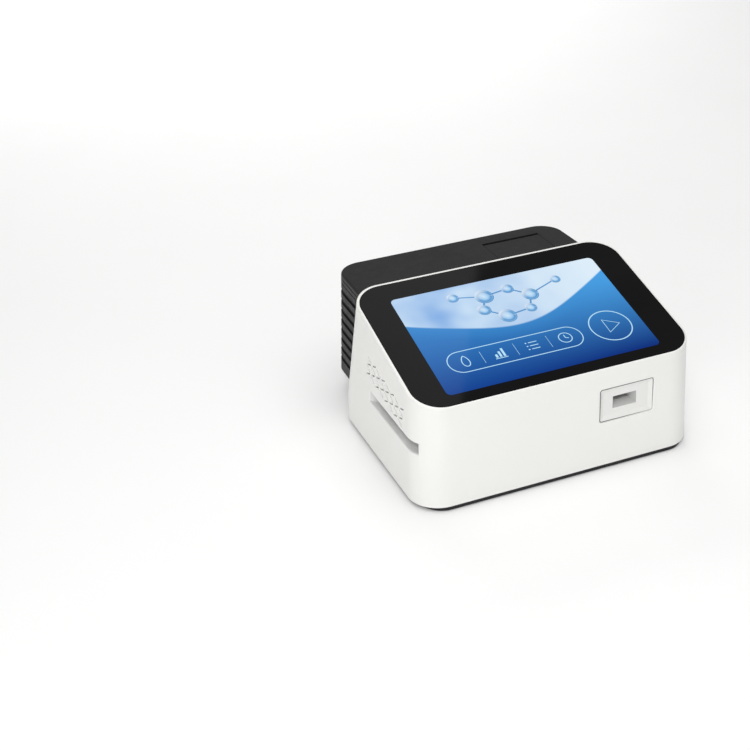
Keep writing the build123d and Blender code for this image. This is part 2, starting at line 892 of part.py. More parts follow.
# Fan: frame with a stator shaft on three spokes, and a bladed rotor running on it
fan_front_y = panel_front_y - fan_depth
with BuildPart() as fan_frame:
    with BuildSketch(upright(fan_front_y)):
        with Locations((fan_x, fan_z)):
            RectangleRounded(fan_size, fan_size, 3)
            Circle(fan_bore, mode=Mode.SUBTRACT)
            with GridLocations(fan_screw_pitch, fan_screw_pitch, 2, 2):
                Circle(fan_screw_hole, mode=Mode.SUBTRACT)
    extrude(amount=-fan_depth)
    with BuildSketch(upright(fan_front_y)):
        with Locations((fan_x, fan_z)):
            Circle(hub_radius)
            with PolarLocations(fan_bore * 0.7, 3, start_angle=90):
                Rectangle(fan_bore * 0.8, fan_spoke_width)
    extrude(amount=-fan_wall_thick)
    rod_along(fan_x, (fan_front_y, fan_front_y + fan_shaft_length), fan_z, fan_shaft)
finish(fan_frame.part, "fan_frame")

rotor_plane = Plane(upright(fan_front_y + rotor_middle).location * Location((fan_x, fan_z, 0)))
with BuildPart(rotor_plane) as fan_rotor:
    with PolarLocations((rotor_radius + hub_radius) / 2, blade_count):
        Box(rotor_radius - hub_radius + 3, blade_thick, blade_chord, rotation=(blade_pitch, 0, 0))
    with BuildSketch(rotor_plane):
        Circle(rotor_radius)
    extrude(amount=rotor_half, both=True, mode=Mode.INTERSECT)
    with BuildSketch(rotor_plane):
        Circle(hub_radius)
    extrude(amount=rotor_half, both=True)
    with BuildSketch(rotor_plane):
        Circle(fan_shaft + running_gap)
    extrude(amount=rotor_half + 1, both=True, mode=Mode.SUBTRACT)
finish(fan_rotor.part, "fan_rotor")

# Base: a tray under the hood with a raised plinth that carries the rear housing
tray_back_y = hood_back_y - wall - 0.6
plinth_top = tail_bottom


def base_outline(inset, mode=Mode.ADD):
    """The hood part of the base seen from below, moved in by inset."""
    deep = tray_back_y - base_front_y - 2 * inset
    with Locations((0, front + (base_front_y + tray_back_y) / 2)):
        RectangleRounded(base_width - 2 * inset, deep, base_corner - inset, mode=mode)


def plinth_outline(inset, mode=Mode.ADD):
    """The rear part of the base seen from below, moved in by inset."""
    deep = plinth_back_y - plinth_start_y - 2 * inset
    with Locations((0, front + (plinth_start_y + plinth_back_y) / 2)):
        RectangleRounded(plinth_width - 2 * inset, deep, plinth_corner - inset, mode=mode)


feet_spots = mirrored(front_foot[0], front + front_foot[1]) + mirrored(back_foot[0], front + back_foot[1])
with BuildPart() as base_tray:
    with BuildSketch(Plane.XY.offset(base_bottom)):
        base_outline(0)
        plinth_outline(0)
    extrude(amount=base_thick)
    with BuildSketch(Plane.XY.offset(base_top)):
        plinth_outline(0)
        plinth_outline(lip_wall, mode=Mode.SUBTRACT)
    extrude(amount=plinth_top - base_top)
    slab(
        between(0, plinth_width / 2 - lip_wall),
        (plinth_start_y - 1, hood_back_y + 1),
        (base_top, plinth_top + 1),
        mode=Mode.SUBTRACT,
    )
    with BuildSketch(Plane.XY.offset(base_bottom)):
        with Locations(*feet_spots):
            Circle(foot_radius + 0.1)
    extrude(amount=foot_sunk, mode=Mode.SUBTRACT)
    with BuildSketch(Plane.XY.offset(base_bottom)):
        with Locations(*base_screw_spots):
            Circle(screw_head + screw_hole_play)
    extrude(amount=screw_recess, mode=Mode.SUBTRACT)
    with BuildSketch(Plane.XY.offset(base_bottom)):
        with Locations(*base_screw_spots):
            Circle(screw_radius + screw_hole_play)
    extrude(amount=base_thick, mode=Mode.SUBTRACT)
finish(base_tray.part, "base_tray")

with BuildPart() as feet:
    with BuildSketch():
        with Locations(*feet_spots):
            Circle(foot_radius)
    extrude(amount=base_bottom + foot_sunk)
    chamfer(feet.edges().group_by(Axis.Z)[0], foot_edge)
finish(feet.part, "rubber_feet")

with BuildPart() as base_screws:
    head_plane = Plane.XY.offset(base_bottom + screw_recess - screw_head_thick)
    with BuildSketch(head_plane):
        with Locations(*base_screw_spots):
            Circle(screw_head)
    extrude(amount=screw_head_thick)
    with BuildSketch(head_plane):
        with Locations(*base_screw_spots):
            Circle(screw_radius)
    extrude(amount=screw_length - 2)
finish(base_screws.part, "base_screws")

# Main board on its spacers
post_xs = (board_x[0] + post_inset, board_x[1] - post_inset)
post_ys = (board_y[0] + post_inset, sum(board_y) / 2, board_y[1] - post_inset)
board_posts = [(x, front + y) for x in post_xs for y in post_ys]
board_top = board_z + board_thick
fin_bottom = board_top + heat_sink_base
with BuildPart() as main_board:
    slab(board_x, board_y, (board_z, board_top))
    slab(heat_sink_x, heat_sink_y, (board_top, fin_bottom))
    for fin in range(fin_count):
        start = heat_sink_x[0] + 1 + fin * fin_pitch
        slab((start, start + fin_thick), heat_sink_y, (fin_bottom, fin_bottom + fin_height))
    for chip_y in chip_rows:
        slab(chip_x, (chip_y, chip_y + chip_size), (board_top, board_top + chip_thick))
    slab(header_x, header_y, (board_top, board_top + header_height))
    with BuildSketch(Plane.XY.offset(board_top)):
        with Locations(*[(capacitor_x, front + y) for y in capacitor_ys]):
            Circle(capacitor_radius)
    extrude(amount=capacitor_height)
    with BuildSketch(Plane.XY.offset(board_z - 1)):
        with Locations(*board_posts):
            Circle(screw_radius + screw_hole_play)
    extrude(amount=board_thick + 2, mode=Mode.SUBTRACT)
finish(main_board.part, "main_board")

with BuildPart() as board_spacers:
    with BuildSketch(Plane.XY.offset(base_top)):
        with Locations(*board_posts):
            RegularPolygon(post_radius, 6)
    extrude(amount=board_z - base_top)
    with BuildSketch(Plane.XY.offset(board_z)):
        with Locations(*board_posts):
            Circle(screw_radius)
    extrude(amount=board_thick)
    with BuildSketch(Plane.XY.offset(board_top)):
        with Locations(*board_posts):
            Circle(screw_head - 0.2)
    extrude(amount=screw_head_thick - 0.2)
finish(board_spacers.part, "board_spacers")

# Scanner deck: a folded sheet on four pillars
deck_left = port_x - deck_width / 2
deck_right = port_x + deck_width / 2
pillar_spots = [
    (x, front + y)
    for x in (deck_left + pillar_inset[0], deck_right - pillar_inset[0])
    for y in (deck_y[0] + pillar_inset[1], deck_y[1] - pillar_inset[1])
]
with BuildPart() as scan_deck:
    slab((deck_left, deck_right), deck_y, (deck_top - deck_sheet, deck_top))
    for edge in ((deck_left, deck_left + deck_sheet), (deck_right - deck_sheet, deck_right)):
        slab(edge, deck_y, (deck_top - deck_flange, deck_top))
    with BuildSketch(Plane.XY.offset(deck_top - deck_sheet - 1)):
        with Locations(*[(port_x, front + y) for y in deck_window_y]):
            RectangleRounded(deck_width * 0.4, deck_window_length, pillar_radius)
        with Locations(*pillar_spots):
            Circle(screw_radius + screw_hole_play)
    extrude(amount=deck_sheet + 2, mode=Mode.SUBTRACT)
finish(scan_deck.part, "scan_deck")

with BuildPart() as deck_pillars:
    with BuildSketch(Plane.XY.offset(base_top)):
        with Locations(*pillar_spots):
            RegularPolygon(pillar_radius, 6)
    extrude(amount=deck_top - deck_sheet - base_top)
    with BuildSketch(Plane.XY.offset(deck_top - deck_sheet)):
        with Locations(*pillar_spots):
            Circle(screw_radius)
    extrude(amount=deck_sheet)
    with BuildSketch(Plane.XY.offset(deck_top)):
        with Locations(*pillar_spots):
            Circle(screw_head)
    extrude(amount=screw_head_thick)
finish(deck_pillars.part, "deck_pillars")

# Guide rods in their two blocks
rod_xs = (port_x - rod_spread, port_x + rod_spread)
rods_end_y = rear_block_y + block_thick


def rod_block(block_y):
    """One end block: it holds both rods and gives the lead screw a plain bearing."""
    with BuildPart() as block:
        slab(between(port_x, block_half), (block_y, block_y + block_thick), (deck_top, rod_z))
        with BuildSketch(upright(block_y)):
            with Locations(*[(x, rod_z) for x in (*rod_xs, port_x)]):
                Circle(block_top - rod_z)
        extrude(amount=-block_thick)
        through = (block_y - 1, block_y + block_thick + 1)
        for rod_x in rod_xs:
            rod_along(rod_x, through, rod_z, rod_radius + seat_gap, Mode.SUBTRACT)
        rod_along(port_x, through, rod_z, rod_radius + running_gap, Mode.SUBTRACT)
    return block.part


finish(rod_block(front_block_y), "front_rod_block")
finish(rod_block(rear_block_y), "rear_rod_block")

with BuildPart() as guide_rods:
    for rod_x in rod_xs:
        rod_along(rod_x, (front_block_y, rods_end_y), rod_z, rod_radius)
    chamfer(guide_rods.edges().filter_by(GeomType.CIRCLE), 0.5)
finish(guide_rods.part, "guide_rods")

# Carriage: a saddle on the rods, with the cassette tray on top
with BuildPart() as cassette_carriage:
    with BuildSketch(upright(saddle_y[0])):
        with Locations(*[(x, rod_z) for x in (*rod_xs, port_x)]):
            Circle(saddle_boss)
        with Locations((port_x, rod_z + saddle_boss / 2)):
            Rectangle(2 * rod_spread, saddle_boss)
    extrude(amount=saddle_y[0] - saddle_y[1])
    slab(between(port_x, rod_spread), saddle_y, (rod_z + saddle_boss - 1, tray_low + 0.5))
    slab(between(port_x, tray_inner / 2 + tray_side), tray_y, (tray_low, tray_top))
    slab(
        between(port_x, tray_inner / 2),
        (tray_y[0] - 1, tray_y[1] - tray_side),
        (tray_floor, tray_top + 1),
        mode=Mode.SUBTRACT,
    )
    for rod_x in (*rod_xs, port_x):
        rod_along(rod_x, (saddle_y[0] - 1, saddle_y[1] + 1), rod_z, rod_radius + running_gap, Mode.SUBTRACT)
finish(cassette_carriage.part, "cassette_carriage")

with BuildPart() as lead_screw:
    rod_along(port_x, (front_block_y, rods_end_y + 1), rod_z, rod_radius)
    rod_along(port_x, (rods_end_y + 1, rods_end_y + 1 + coupler_length), rod_z, coupler_radius)
    shaft_span = (rods_end_y + coupler_length, motor_face_y + motor_bore_depth - 1)
    rod_along(port_x, shaft_span, rod_z, motor_shaft_radius)
finish(lead_screw.part, "lead_screw")

with BuildPart() as motor_bracket:
    slab(
        between(port_x, motor_size / 2 + motor_bracket_margin),
        (motor_face_y - plate_thick, motor_face_y),
        (deck_top, rod_z + motor_size / 2),
    )
    slab(
        between(port_x, motor_size / 2 + motor_bracket_margin),
        (motor_face_y - plate_thick, deck_y[1]),
        (deck_top, deck_top + plate_thick),
    )
    hole_span = (motor_face_y - plate_thick - 1, motor_face_y + 1)
    rod_along(port_x, hole_span, rod_z, motor_bracket_hole, Mode.SUBTRACT)
finish(motor_bracket.part, "motor_bracket")

with BuildPart() as stepper_motor:
    with BuildSketch(upright(motor_face_y)):
        with Locations((port_x, rod_z)):
            RectangleRounded(motor_size, motor_size, motor_corner)
    extrude(amount=-motor_length)
    rod_along(port_x, (motor_face_y - motor_pilot[1], motor_face_y), rod_z, motor_pilot[0])
    rod_along(
        port_x,
        (motor_face_y - 2, motor_face_y + motor_bore_depth),
        rod_z,
        motor_shaft_radius + running_gap,
        mode=Mode.SUBTRACT,
    )
finish(stepper_motor.part, "stepper_motor")

# Optics bridge over the carriage
bridge_half = deck_width / 2 - deck_sheet
with BuildPart() as optics_bridge:
    slab(between(port_x, bridge_half), optics_y, (optics_plate_z, optics_plate_z + optics_plate))
    for side in (-1, 1):
        leg = sorted((port_x + side * bridge_half, port_x + side * (bridge_half - leg_thick)))
        toe = sorted((port_x + side * bridge_half, port_x + side * (bridge_half - leg_thick - leg_foot)))
        slab(leg, between(head_y, leg_length / 2), (deck_top, optics_plate_z))
        slab(toe, between(head_y, leg_length / 2), (deck_top, deck_top + plate_thick))
    with BuildSketch(Plane.XY.offset(optics_plate_z - 1)):
        with Locations((port_x, front + head_y)):
            Circle(lens_radius + lens_play)
        with Locations((port_x, front + reader_y)):
            Rectangle(*reader_window)
    extrude(amount=optics_plate + 2, mode=Mode.SUBTRACT)
finish(optics_bridge.part, "optics_bridge")

lens_top = lens_bottom + lens_length + head_gap
with BuildPart() as optics_head:
    with BuildSketch(Plane.XY.offset(optics_plate_z + optics_plate)):
        with Locations((port_x, front + head_y)):
            RectangleRounded(head_size[0], head_size[1], 3)
            Circle(lens_radius, mode=Mode.SUBTRACT)
    extrude(amount=head_size[2])
    slab(
        between(port_x, head_size[0] / 2 - head_cap_inset),
        between(head_y, head_size[1] / 2 - head_cap_inset),
        (lens_top, lens_top + head_cap),
    )
finish(optics_head.part, "optics_head")

with BuildPart() as optics_lens:
    with BuildSketch(Plane.XY.offset(lens_bottom)):
        with Locations((port_x, front + head_y)):
            Circle(lens_radius - seat_gap)
    extrude(amount=lens_length)
    chamfer(optics_lens.edges().group_by(Axis.Z)[0], 1)
finish(optics_lens.part, "lens_barrel")

with BuildPart() as code_reader:
    slab(
        between(port_x, reader_size[0] / 2),
        between(reader_y, reader_size[1] / 2),
        (optics_plate_z + optics_plate, optics_plate_z + optics_plate + reader_size[2]),
    )
finish(code_reader.part, "code_reader")

# Printer: a bucket under the lid for the paper roll, with the thermal head in its front wall
hinge_z = tail_top - hinge_radius
ceiling = tail_top - tail_wall
bucket_outer_half = bucket_inner / 2 + bucket_wall
drive_z = platen_z - (platen_teeth + pinion_teeth) * gear_module / 2 - gear_play
gear_start_x = lid_x - lid_width / 2 + 0.2
with BuildPart() as printer_bucket:
    with BuildSketch(Plane.YZ.offset(lid_x - bucket_outer_half)):
        with Locations((front + roll_y, roll_z)):
            Circle(bucket_radius + bucket_wall)
        Polygon(
            (front + bucket_front_y, ceiling),
            (front + bucket_front_y, bucket_shelf_z - bucket_wall),
            (front + roll_y, roll_z - 6),
            (front + bucket_back_y, bucket_shelf_z - bucket_wall),
            (front + bucket_back_y, ceiling),
            align=None,
        )
    extrude(amount=2 * bucket_outer_half)
    with BuildSketch(Plane.YZ.offset(lid_x - bucket_inner / 2)):
        with Locations((front + roll_y, roll_z)):
            Circle(bucket_radius)
        Polygon(
            (front + bucket_front_y + bucket_wall, ceiling + 1),
            (front + bucket_front_y + bucket_wall, bucket_shelf_z),
            (front + roll_y, roll_z),
            (front + bucket_back_y - bucket_wall, bucket_shelf_z),
            (front + bucket_back_y - bucket_wall, ceiling + 1),
            align=None,
        )
    extrude(amount=bucket_inner, mode=Mode.SUBTRACT)
    pin_bore = hinge_pin_radius + seat_gap
    bar_across(between(lid_x, bucket_outer_half + 1), hinge_y, hinge_z, pin_bore, Mode.SUBTRACT)
    bar_across(
        (lid_x - bucket_outer_half - 1, lid_x - bucket_inner / 2 + 1),
        platen_y,
        drive_z,
        drive_shaft + running_gap,
        mode=Mode.SUBTRACT,
    )
finish(printer_bucket.part, "printer_bucket")

with BuildPart() as print_head:
    head_face = platen_y - platen_radius - head_gap
    slab(
        between(lid_x, platen_width / 2 - 0.5),
        (bucket_front_y + bucket_wall, head_face),
        (head_bottom_z, head_top_z),
    )
finish(print_head.part, "print_head")

with BuildPart() as printer_motor:
    motor_end_x = lid_x - bucket_outer_half
    bar_across((motor_end_x - printer_motor_length, motor_end_x), platen_y, drive_z, printer_motor_radius)
    bar_across(
        (lid_x - bucket_outer_half - 6, lid_x - bucket_outer_half + 1),
        platen_y,
        drive_z,
        drive_shaft + running_gap,
        mode=Mode.SUBTRACT,
    )
finish(printer_motor.part, "printer_motor")

ear_half = platen_width / 2 + ear_gap
pinion_outline = gear_outline(pinion_teeth, 0.5)
platen_gear_outline = gear_outline(platen_teeth, 0)
with BuildPart() as drive_pinion:
    with BuildSketch(Plane.YZ.offset(gear_start_x)):
        with Locations((front + platen_y, drive_z)):
            add(pinion_outline)
    extrude(amount=gear_thick)
    bar_across((lid_x - bucket_outer_half - 5, gear_start_x + gear_thick), platen_y, drive_z, drive_shaft)
finish(drive_pinion.part, "drive_pinion")

# Printer lid with its hinge barrel behind and two ears for the platen in front
lid_under = tail_top - lid_thick
ear_length = lid_under - platen_z + ear_radius + 0.5
barrel_bite = (hinge_radius**2 - (lid_under - hinge_z) ** 2) ** 0.5
with BuildPart() as printer_lid:
    with BuildSketch(Plane.YZ.offset(lid_x - lid_width / 2)) as lid_side:
        with BuildLine():
            Polyline(
                (front + hinge_y - barrel_bite, lid_under),
                (front + lid_front_y, lid_under),
                (front + lid_front_y, tail_top),
                (front + hinge_y, tail_top),
            )
            ThreePointArc(
                (front + hinge_y, tail_top),
                (front + hinge_y + hinge_radius * cos(pi / 4), hinge_z - hinge_radius * sin(pi / 4)),
                (front + hinge_y - barrel_bite, lid_under),
            )
        make_face()
    extrude(amount=lid_width)
    for side in (-1, 1):
        near, far = sorted((lid_x + side * ear_half, lid_x + side * (ear_half + ear_thick)))
        with BuildSketch(Plane.YZ.offset(near)) as ear:
            with Locations((front + platen_y, platen_z - ear_radius)):
                Rectangle(2 * ear_radius, ear_length, align=(Align.CENTER, Align.MIN))
            fillet(ear.vertices().group_by(Axis.Z)[0], ear_radius - 0.2)
        extrude(amount=ear_thick)
        rail_x = lid_x + side * (lid_width / 2 - lid_rail_inset)
        rail_span = (platen_y + 2 * platen_radius, hinge_y - hinge_radius - ear_radius)
        slab(between(rail_x, lid_rail[0]), rail_span, (lid_under - lid_rail[1], lid_under + 0.5))
    bar_across(between(lid_x, lid_width), hinge_y, hinge_z, hinge_pin_radius + running_gap, Mode.SUBTRACT)
    bar_across(between(lid_x, lid_width), platen_y, platen_z, platen_shaft + running_gap, Mode.SUBTRACT)
    nose = printer_lid.edges().filter_by(Axis.X).filter_by_position(Axis.Z, tail_top - 0.1, tail_top + 0.1)
    fillet(nose.sort_by(Axis.Y)[0], lid_nose)
finish(printer_lid.part, "printer_lid")

with BuildPart() as hinge_pin:
    bar_across(between(lid_x, bucket_outer_half - 0.2), hinge_y, hinge_z, hinge_pin_radius)
finish(hinge_pin.part, "lid_hinge_pin")

with BuildPart() as platen_rubber:
    bar_across(between(lid_x, platen_width / 2), platen_y, platen_z, platen_radius)
    bar_across(between(lid_x, platen_width / 2), platen_y, platen_z, platen_shaft, Mode.SUBTRACT)
finish(platen_rubber.part, "platen_rubber")

with BuildPart() as platen_axle:
    bar_across((gear_start_x, lid_x + ear_half + ear_thick), platen_y, platen_z, platen_shaft)
finish(platen_axle.part, "platen_axle")

with BuildPart() as platen_gear:
    with BuildSketch(Plane.YZ.offset(gear_start_x)):
        with Locations((front + platen_y, platen_z)):
            add(platen_gear_outline)
            Circle(platen_shaft, mode=Mode.SUBTRACT)
    extrude(amount=gear_thick)
finish(platen_gear.part, "platen_gear")

with BuildPart() as paper_roll:
    roll_low = roll_z - bucket_radius + roll_radius + roll_rest
    bar_across(between(lid_x, roll_width / 2), roll_y, roll_low, roll_radius)
    bar_across(between(lid_x, roll_width / 2), roll_y, roll_low, roll_core, Mode.SUBTRACT)
finish(paper_roll.part, "paper_roll")
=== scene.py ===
"""Bench-top immunofluorescence analyzer: the looks built round its CAD frame.

Metres, +Z up, -Y towards the user. The CAD nodes give every shape that is right already and get
their finishes here. Made here are the lit picture on the screen, the dark bead of painted shade
round the port's frame, the contacts in the sockets, the power inlet's pin, the marks on the rocker
and the six-sided sockets in the base screws. Their sizes are written in millimetres, and MM turns
them into metres.
"""

import math

import bpy
import numpy as np
from mathutils import Matrix, Vector


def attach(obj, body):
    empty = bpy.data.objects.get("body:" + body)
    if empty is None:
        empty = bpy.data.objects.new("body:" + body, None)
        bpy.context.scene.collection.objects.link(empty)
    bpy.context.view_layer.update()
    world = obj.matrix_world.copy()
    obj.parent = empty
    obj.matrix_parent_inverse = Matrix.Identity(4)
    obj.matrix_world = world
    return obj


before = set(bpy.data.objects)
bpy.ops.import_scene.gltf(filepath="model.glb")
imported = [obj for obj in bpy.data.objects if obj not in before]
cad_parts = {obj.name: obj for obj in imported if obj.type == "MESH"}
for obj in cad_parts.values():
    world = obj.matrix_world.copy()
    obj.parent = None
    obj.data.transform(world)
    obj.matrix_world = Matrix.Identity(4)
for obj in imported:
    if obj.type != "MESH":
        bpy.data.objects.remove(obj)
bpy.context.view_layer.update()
MM = 0.001

# Where the hood's front stands; the depth of each part made here is counted back from it
FRONT = -132.25

# The port's frame: its middle, how deep it lies, its size and how far it leans back
PORT_X = 65.4
PORT_Z = 67.2
PORT_DEPTH = 5.38
PORT_WIDTH = 56.8
PORT_HEIGHT = 34.3
PORT_LEAN = math.radians(2.5)

# Camera and light

CAMERA_AZIMUTH = math.radians(-20.304)
CAMERA_ELEVATION = math.radians(29.59)
CAMERA_ROLL = math.radians(-2.867)
CAMERA_PLACE = Vector((-0.4937, -0.9750, 0.6680))
FOCAL_PIXELS = 1251.8
PICTURE_SIDE = 750.0
SENSOR_WIDTH = 36.0
SKY_STRENGTH = 0.385


def place_camera():
    """The camera's axes follow its azimuth and elevation, then turn by the roll about the view."""
    back = Vector(
        (
            math.sin(CAMERA_AZIMUTH) * math.cos(CAMERA_ELEVATION),
            -math.cos(CAMERA_AZIMUTH) * math.cos(CAMERA_ELEVATION),
            math.sin(CAMERA_ELEVATION),
        )
    )
    right = Vector((0, 0, 1)).cross(back).normalized()
    up = back.cross(right)
    turned_right = right * math.cos(CAMERA_ROLL) + up * math.sin(CAMERA_ROLL)
    turned_up = up * math.cos(CAMERA_ROLL) - right * math.sin(CAMERA_ROLL)
    data = bpy.data.cameras.new("camera")
    data.sensor_width = SENSOR_WIDTH
    data.lens = FOCAL_PIXELS * SENSOR_WIDTH / PICTURE_SIDE
    camera = bpy.data.objects.new("camera", data)
    bpy.context.scene.collection.objects.link(camera)
    basis = Matrix((turned_right, turned_up, back)).transposed().to_4x4()
    camera.matrix_world = Matrix.Translation(CAMERA_PLACE) @ basis
    bpy.context.scene.camera = camera


def area_light(name, place, aim, size, watts, mirrored=True):
    """A square soft light turned to face a point; glossy faces mirror it or they do not."""
    data = bpy.data.lights.new(name, "AREA")
    data.shape = "SQUARE"
    data.size = size
    data.energy = watts
    light = bpy.data.objects.new(name, data)
    light.location = place
    light.rotation_euler = (Vector(aim) - Vector(place)).to_track_quat("-Z", "Y").to_euler()
    light.visible_glossy = mirrored
    bpy.context.scene.collection.objects.link(light)


def light_studio():
    """Soft light from above, the left and behind, over a pale floor under a white sky."""
    world = bpy.data.worlds.new("studio")
    bpy.context.scene.world = world
    world.use_nodes = True
    background = world.node_tree.nodes["Background"]
    background.inputs["Color"].default_value = (1.0, 1.0, 1.0, 1.0)
    background.inputs["Strength"].default_value = SKY_STRENGTH
    area_light("overhead", (0.0, -0.35, 1.9), (0.0, 0.0, 0.05), 2.0, 18.0)
    area_light("key", (-0.75, -1.35, 1.35), (0.0, 0.0, 0.06), 0.35, 8.0)
    area_light("side_softbox", (-1.2, -1.3, 0.5), (0.0, 0.0, 0.06), 0.6, 6.0)
    area_light("rear_softbox", (0.34, 1.18, 1.8), (0.715, 0.98, 0.0), 1.0, 3.8)
    area_light("backdrop", (0.3, 2.4, 1.5), (0.3, 2.6, 0.0), 1.6, 29.0, mirrored=False)
    bpy.context.scene.view_settings.view_transform = "Standard"


place_camera()
light_studio()

# Materials


class Finish:
    """A node material with one Principled shader, built up step by step."""

    def __init__(
        self, name, colour, roughness, metallic=0.0, specular=0.5, coat=0.0, coat_roughness=0.1
    ):
        self.name = name
        self.material = bpy.data.materials.new(name)
        self.material.use_nodes = True
        self.material.diffuse_color = (*colour, 1.0)
        self.tree = self.material.node_tree
        self.shader = self.tree.nodes["Principled BSDF"]
        self.colour = colour
        self.set("Base Color", (*colour, 1.0))
        self.set("Roughness", roughness)
        self.set("Metallic", metallic)
        self.set("Specular IOR Level", specular)
        self.set("Coat Weight", coat)
        self.set("Coat Roughness", coat_roughness)
        self.roughness = roughness
        self.place = self.add("ShaderNodeTexCoord").outputs["Object"]

    def set(self, socket, value):
        """Gives one of the shader's sockets a plain value."""
        self.shader.inputs[socket].default_value = value

    def add(self, kind, **settings):
        """A new node of a kind, with its settings."""
        node = self.tree.nodes.new(kind)
        for key, value in settings.items():
            setattr(node, key, value)
        return node

    def link(self, source, target):
        """Joins a node's output to another's input."""
        self.tree.links.new(source, target)

    def noise(self, scale, detail=2.0, stretch=(1.0, 1.0, 1.0)):
        """Cloudy values from 0 to 1, so many per metre; a stretch below 1 draws them out."""
        mapping = self.add("ShaderNodeMapping")
        mapping.inputs["Scale"].default_value = stretch
        self.link(self.place, mapping.inputs["Vector"])
        texture = self.add("ShaderNodeTexNoise")
        texture.inputs["Scale"].default_value = scale
        texture.inputs["Detail"].default_value = detail
        self.link(mapping.outputs["Vector"], texture.inputs["Vector"])
        return texture.outputs["Fac"]

    def spread(self, value, low, high):
        """The part of the value between 0.3 and 0.7, stretched over the span from low to high."""
        node = self.add("ShaderNodeMapRange")
        node.inputs["From Min"].default_value = 0.3
        node.inputs["From Max"].default_value = 0.7
        node.inputs["To Min"].default_value = low
        node.inputs["To Max"].default_value = high
        self.link(value, node.inputs["Value"])
        return node.outputs["Result"]

    def mottle(self, scale, amount, detail=3.0, stretch=(1.0, 1.0, 1.0)):
        """The colour drifts between a little darker and a little lighter."""
        mix = self.add("ShaderNodeMix", data_type="RGBA")
        mix.inputs["A"].default_value = (*[c * (1 - amount) for c in self.colour], 1.0)
        mix.inputs["B"].default_value = (*[min(1.0, c * (1 + amount)) for c in self.colour], 1.0)
        drift = self.spread(self.noise(scale, detail, stretch), 0.0, 1.0)
        self.link(drift, mix.inputs["Factor"])
        self.link(mix.outputs["Result"], self.shader.inputs["Base Color"])
        return self

    def painted_shade_behind(self, colour, foot, lean):
        """Another colour behind a plane, given by its Y at height zero and its lean in radians;
        here it paints shade into the cassette mouth.
        """
        parts = self.add("ShaderNodeSeparateXYZ")
        self.link(self.place, parts.inputs["Vector"])
        plane = self.add("ShaderNodeMath", operation="MULTIPLY_ADD")
        plane.inputs[1].default_value = math.tan(lean)
        plane.inputs[2].default_value = foot
        self.link(parts.outputs["Z"], plane.inputs[0])
        behind = self.add("ShaderNodeMath", operation="GREATER_THAN")
        self.link(parts.outputs["Y"], behind.inputs[0])
        self.link(plane.outputs["Value"], behind.inputs[1])
        mix = self.add("ShaderNodeMix", data_type="RGBA")
        mix.inputs["B"].default_value = (*colour, 1.0)
        self.link(self.shader.inputs["Base Color"].links[0].from_socket, mix.inputs["A"])
        self.link(behind.outputs["Value"], mix.inputs["Factor"])
        self.link(mix.outputs["Result"], self.shader.inputs["Base Color"])
        return self

    def polish(self, scale, amount, detail=3.0, stretch=(1.0, 1.0, 1.0)):
        """The roughness drifts by an amount each way."""
        span = (max(0.02, self.roughness - amount), min(1.0, self.roughness + amount))
        drift = self.spread(self.noise(scale, detail, stretch), *span)
        self.link(drift, self.shader.inputs["Roughness"])
        return self

    def grain(self, scale, depth, detail=2.0, stretch=(1.0, 1.0, 1.0)):
        """A raised texture of so many bumps per metre and a depth in metres."""
        bump = self.add("ShaderNodeBump")
        bump.inputs["Strength"].default_value = 1.0
        bump.inputs["Distance"].default_value = depth
        self.link(self.noise(scale, detail, stretch), bump.inputs["Height"])
        self.link(bump.outputs["Normal"], self.shader.inputs["Normal"])
        return self


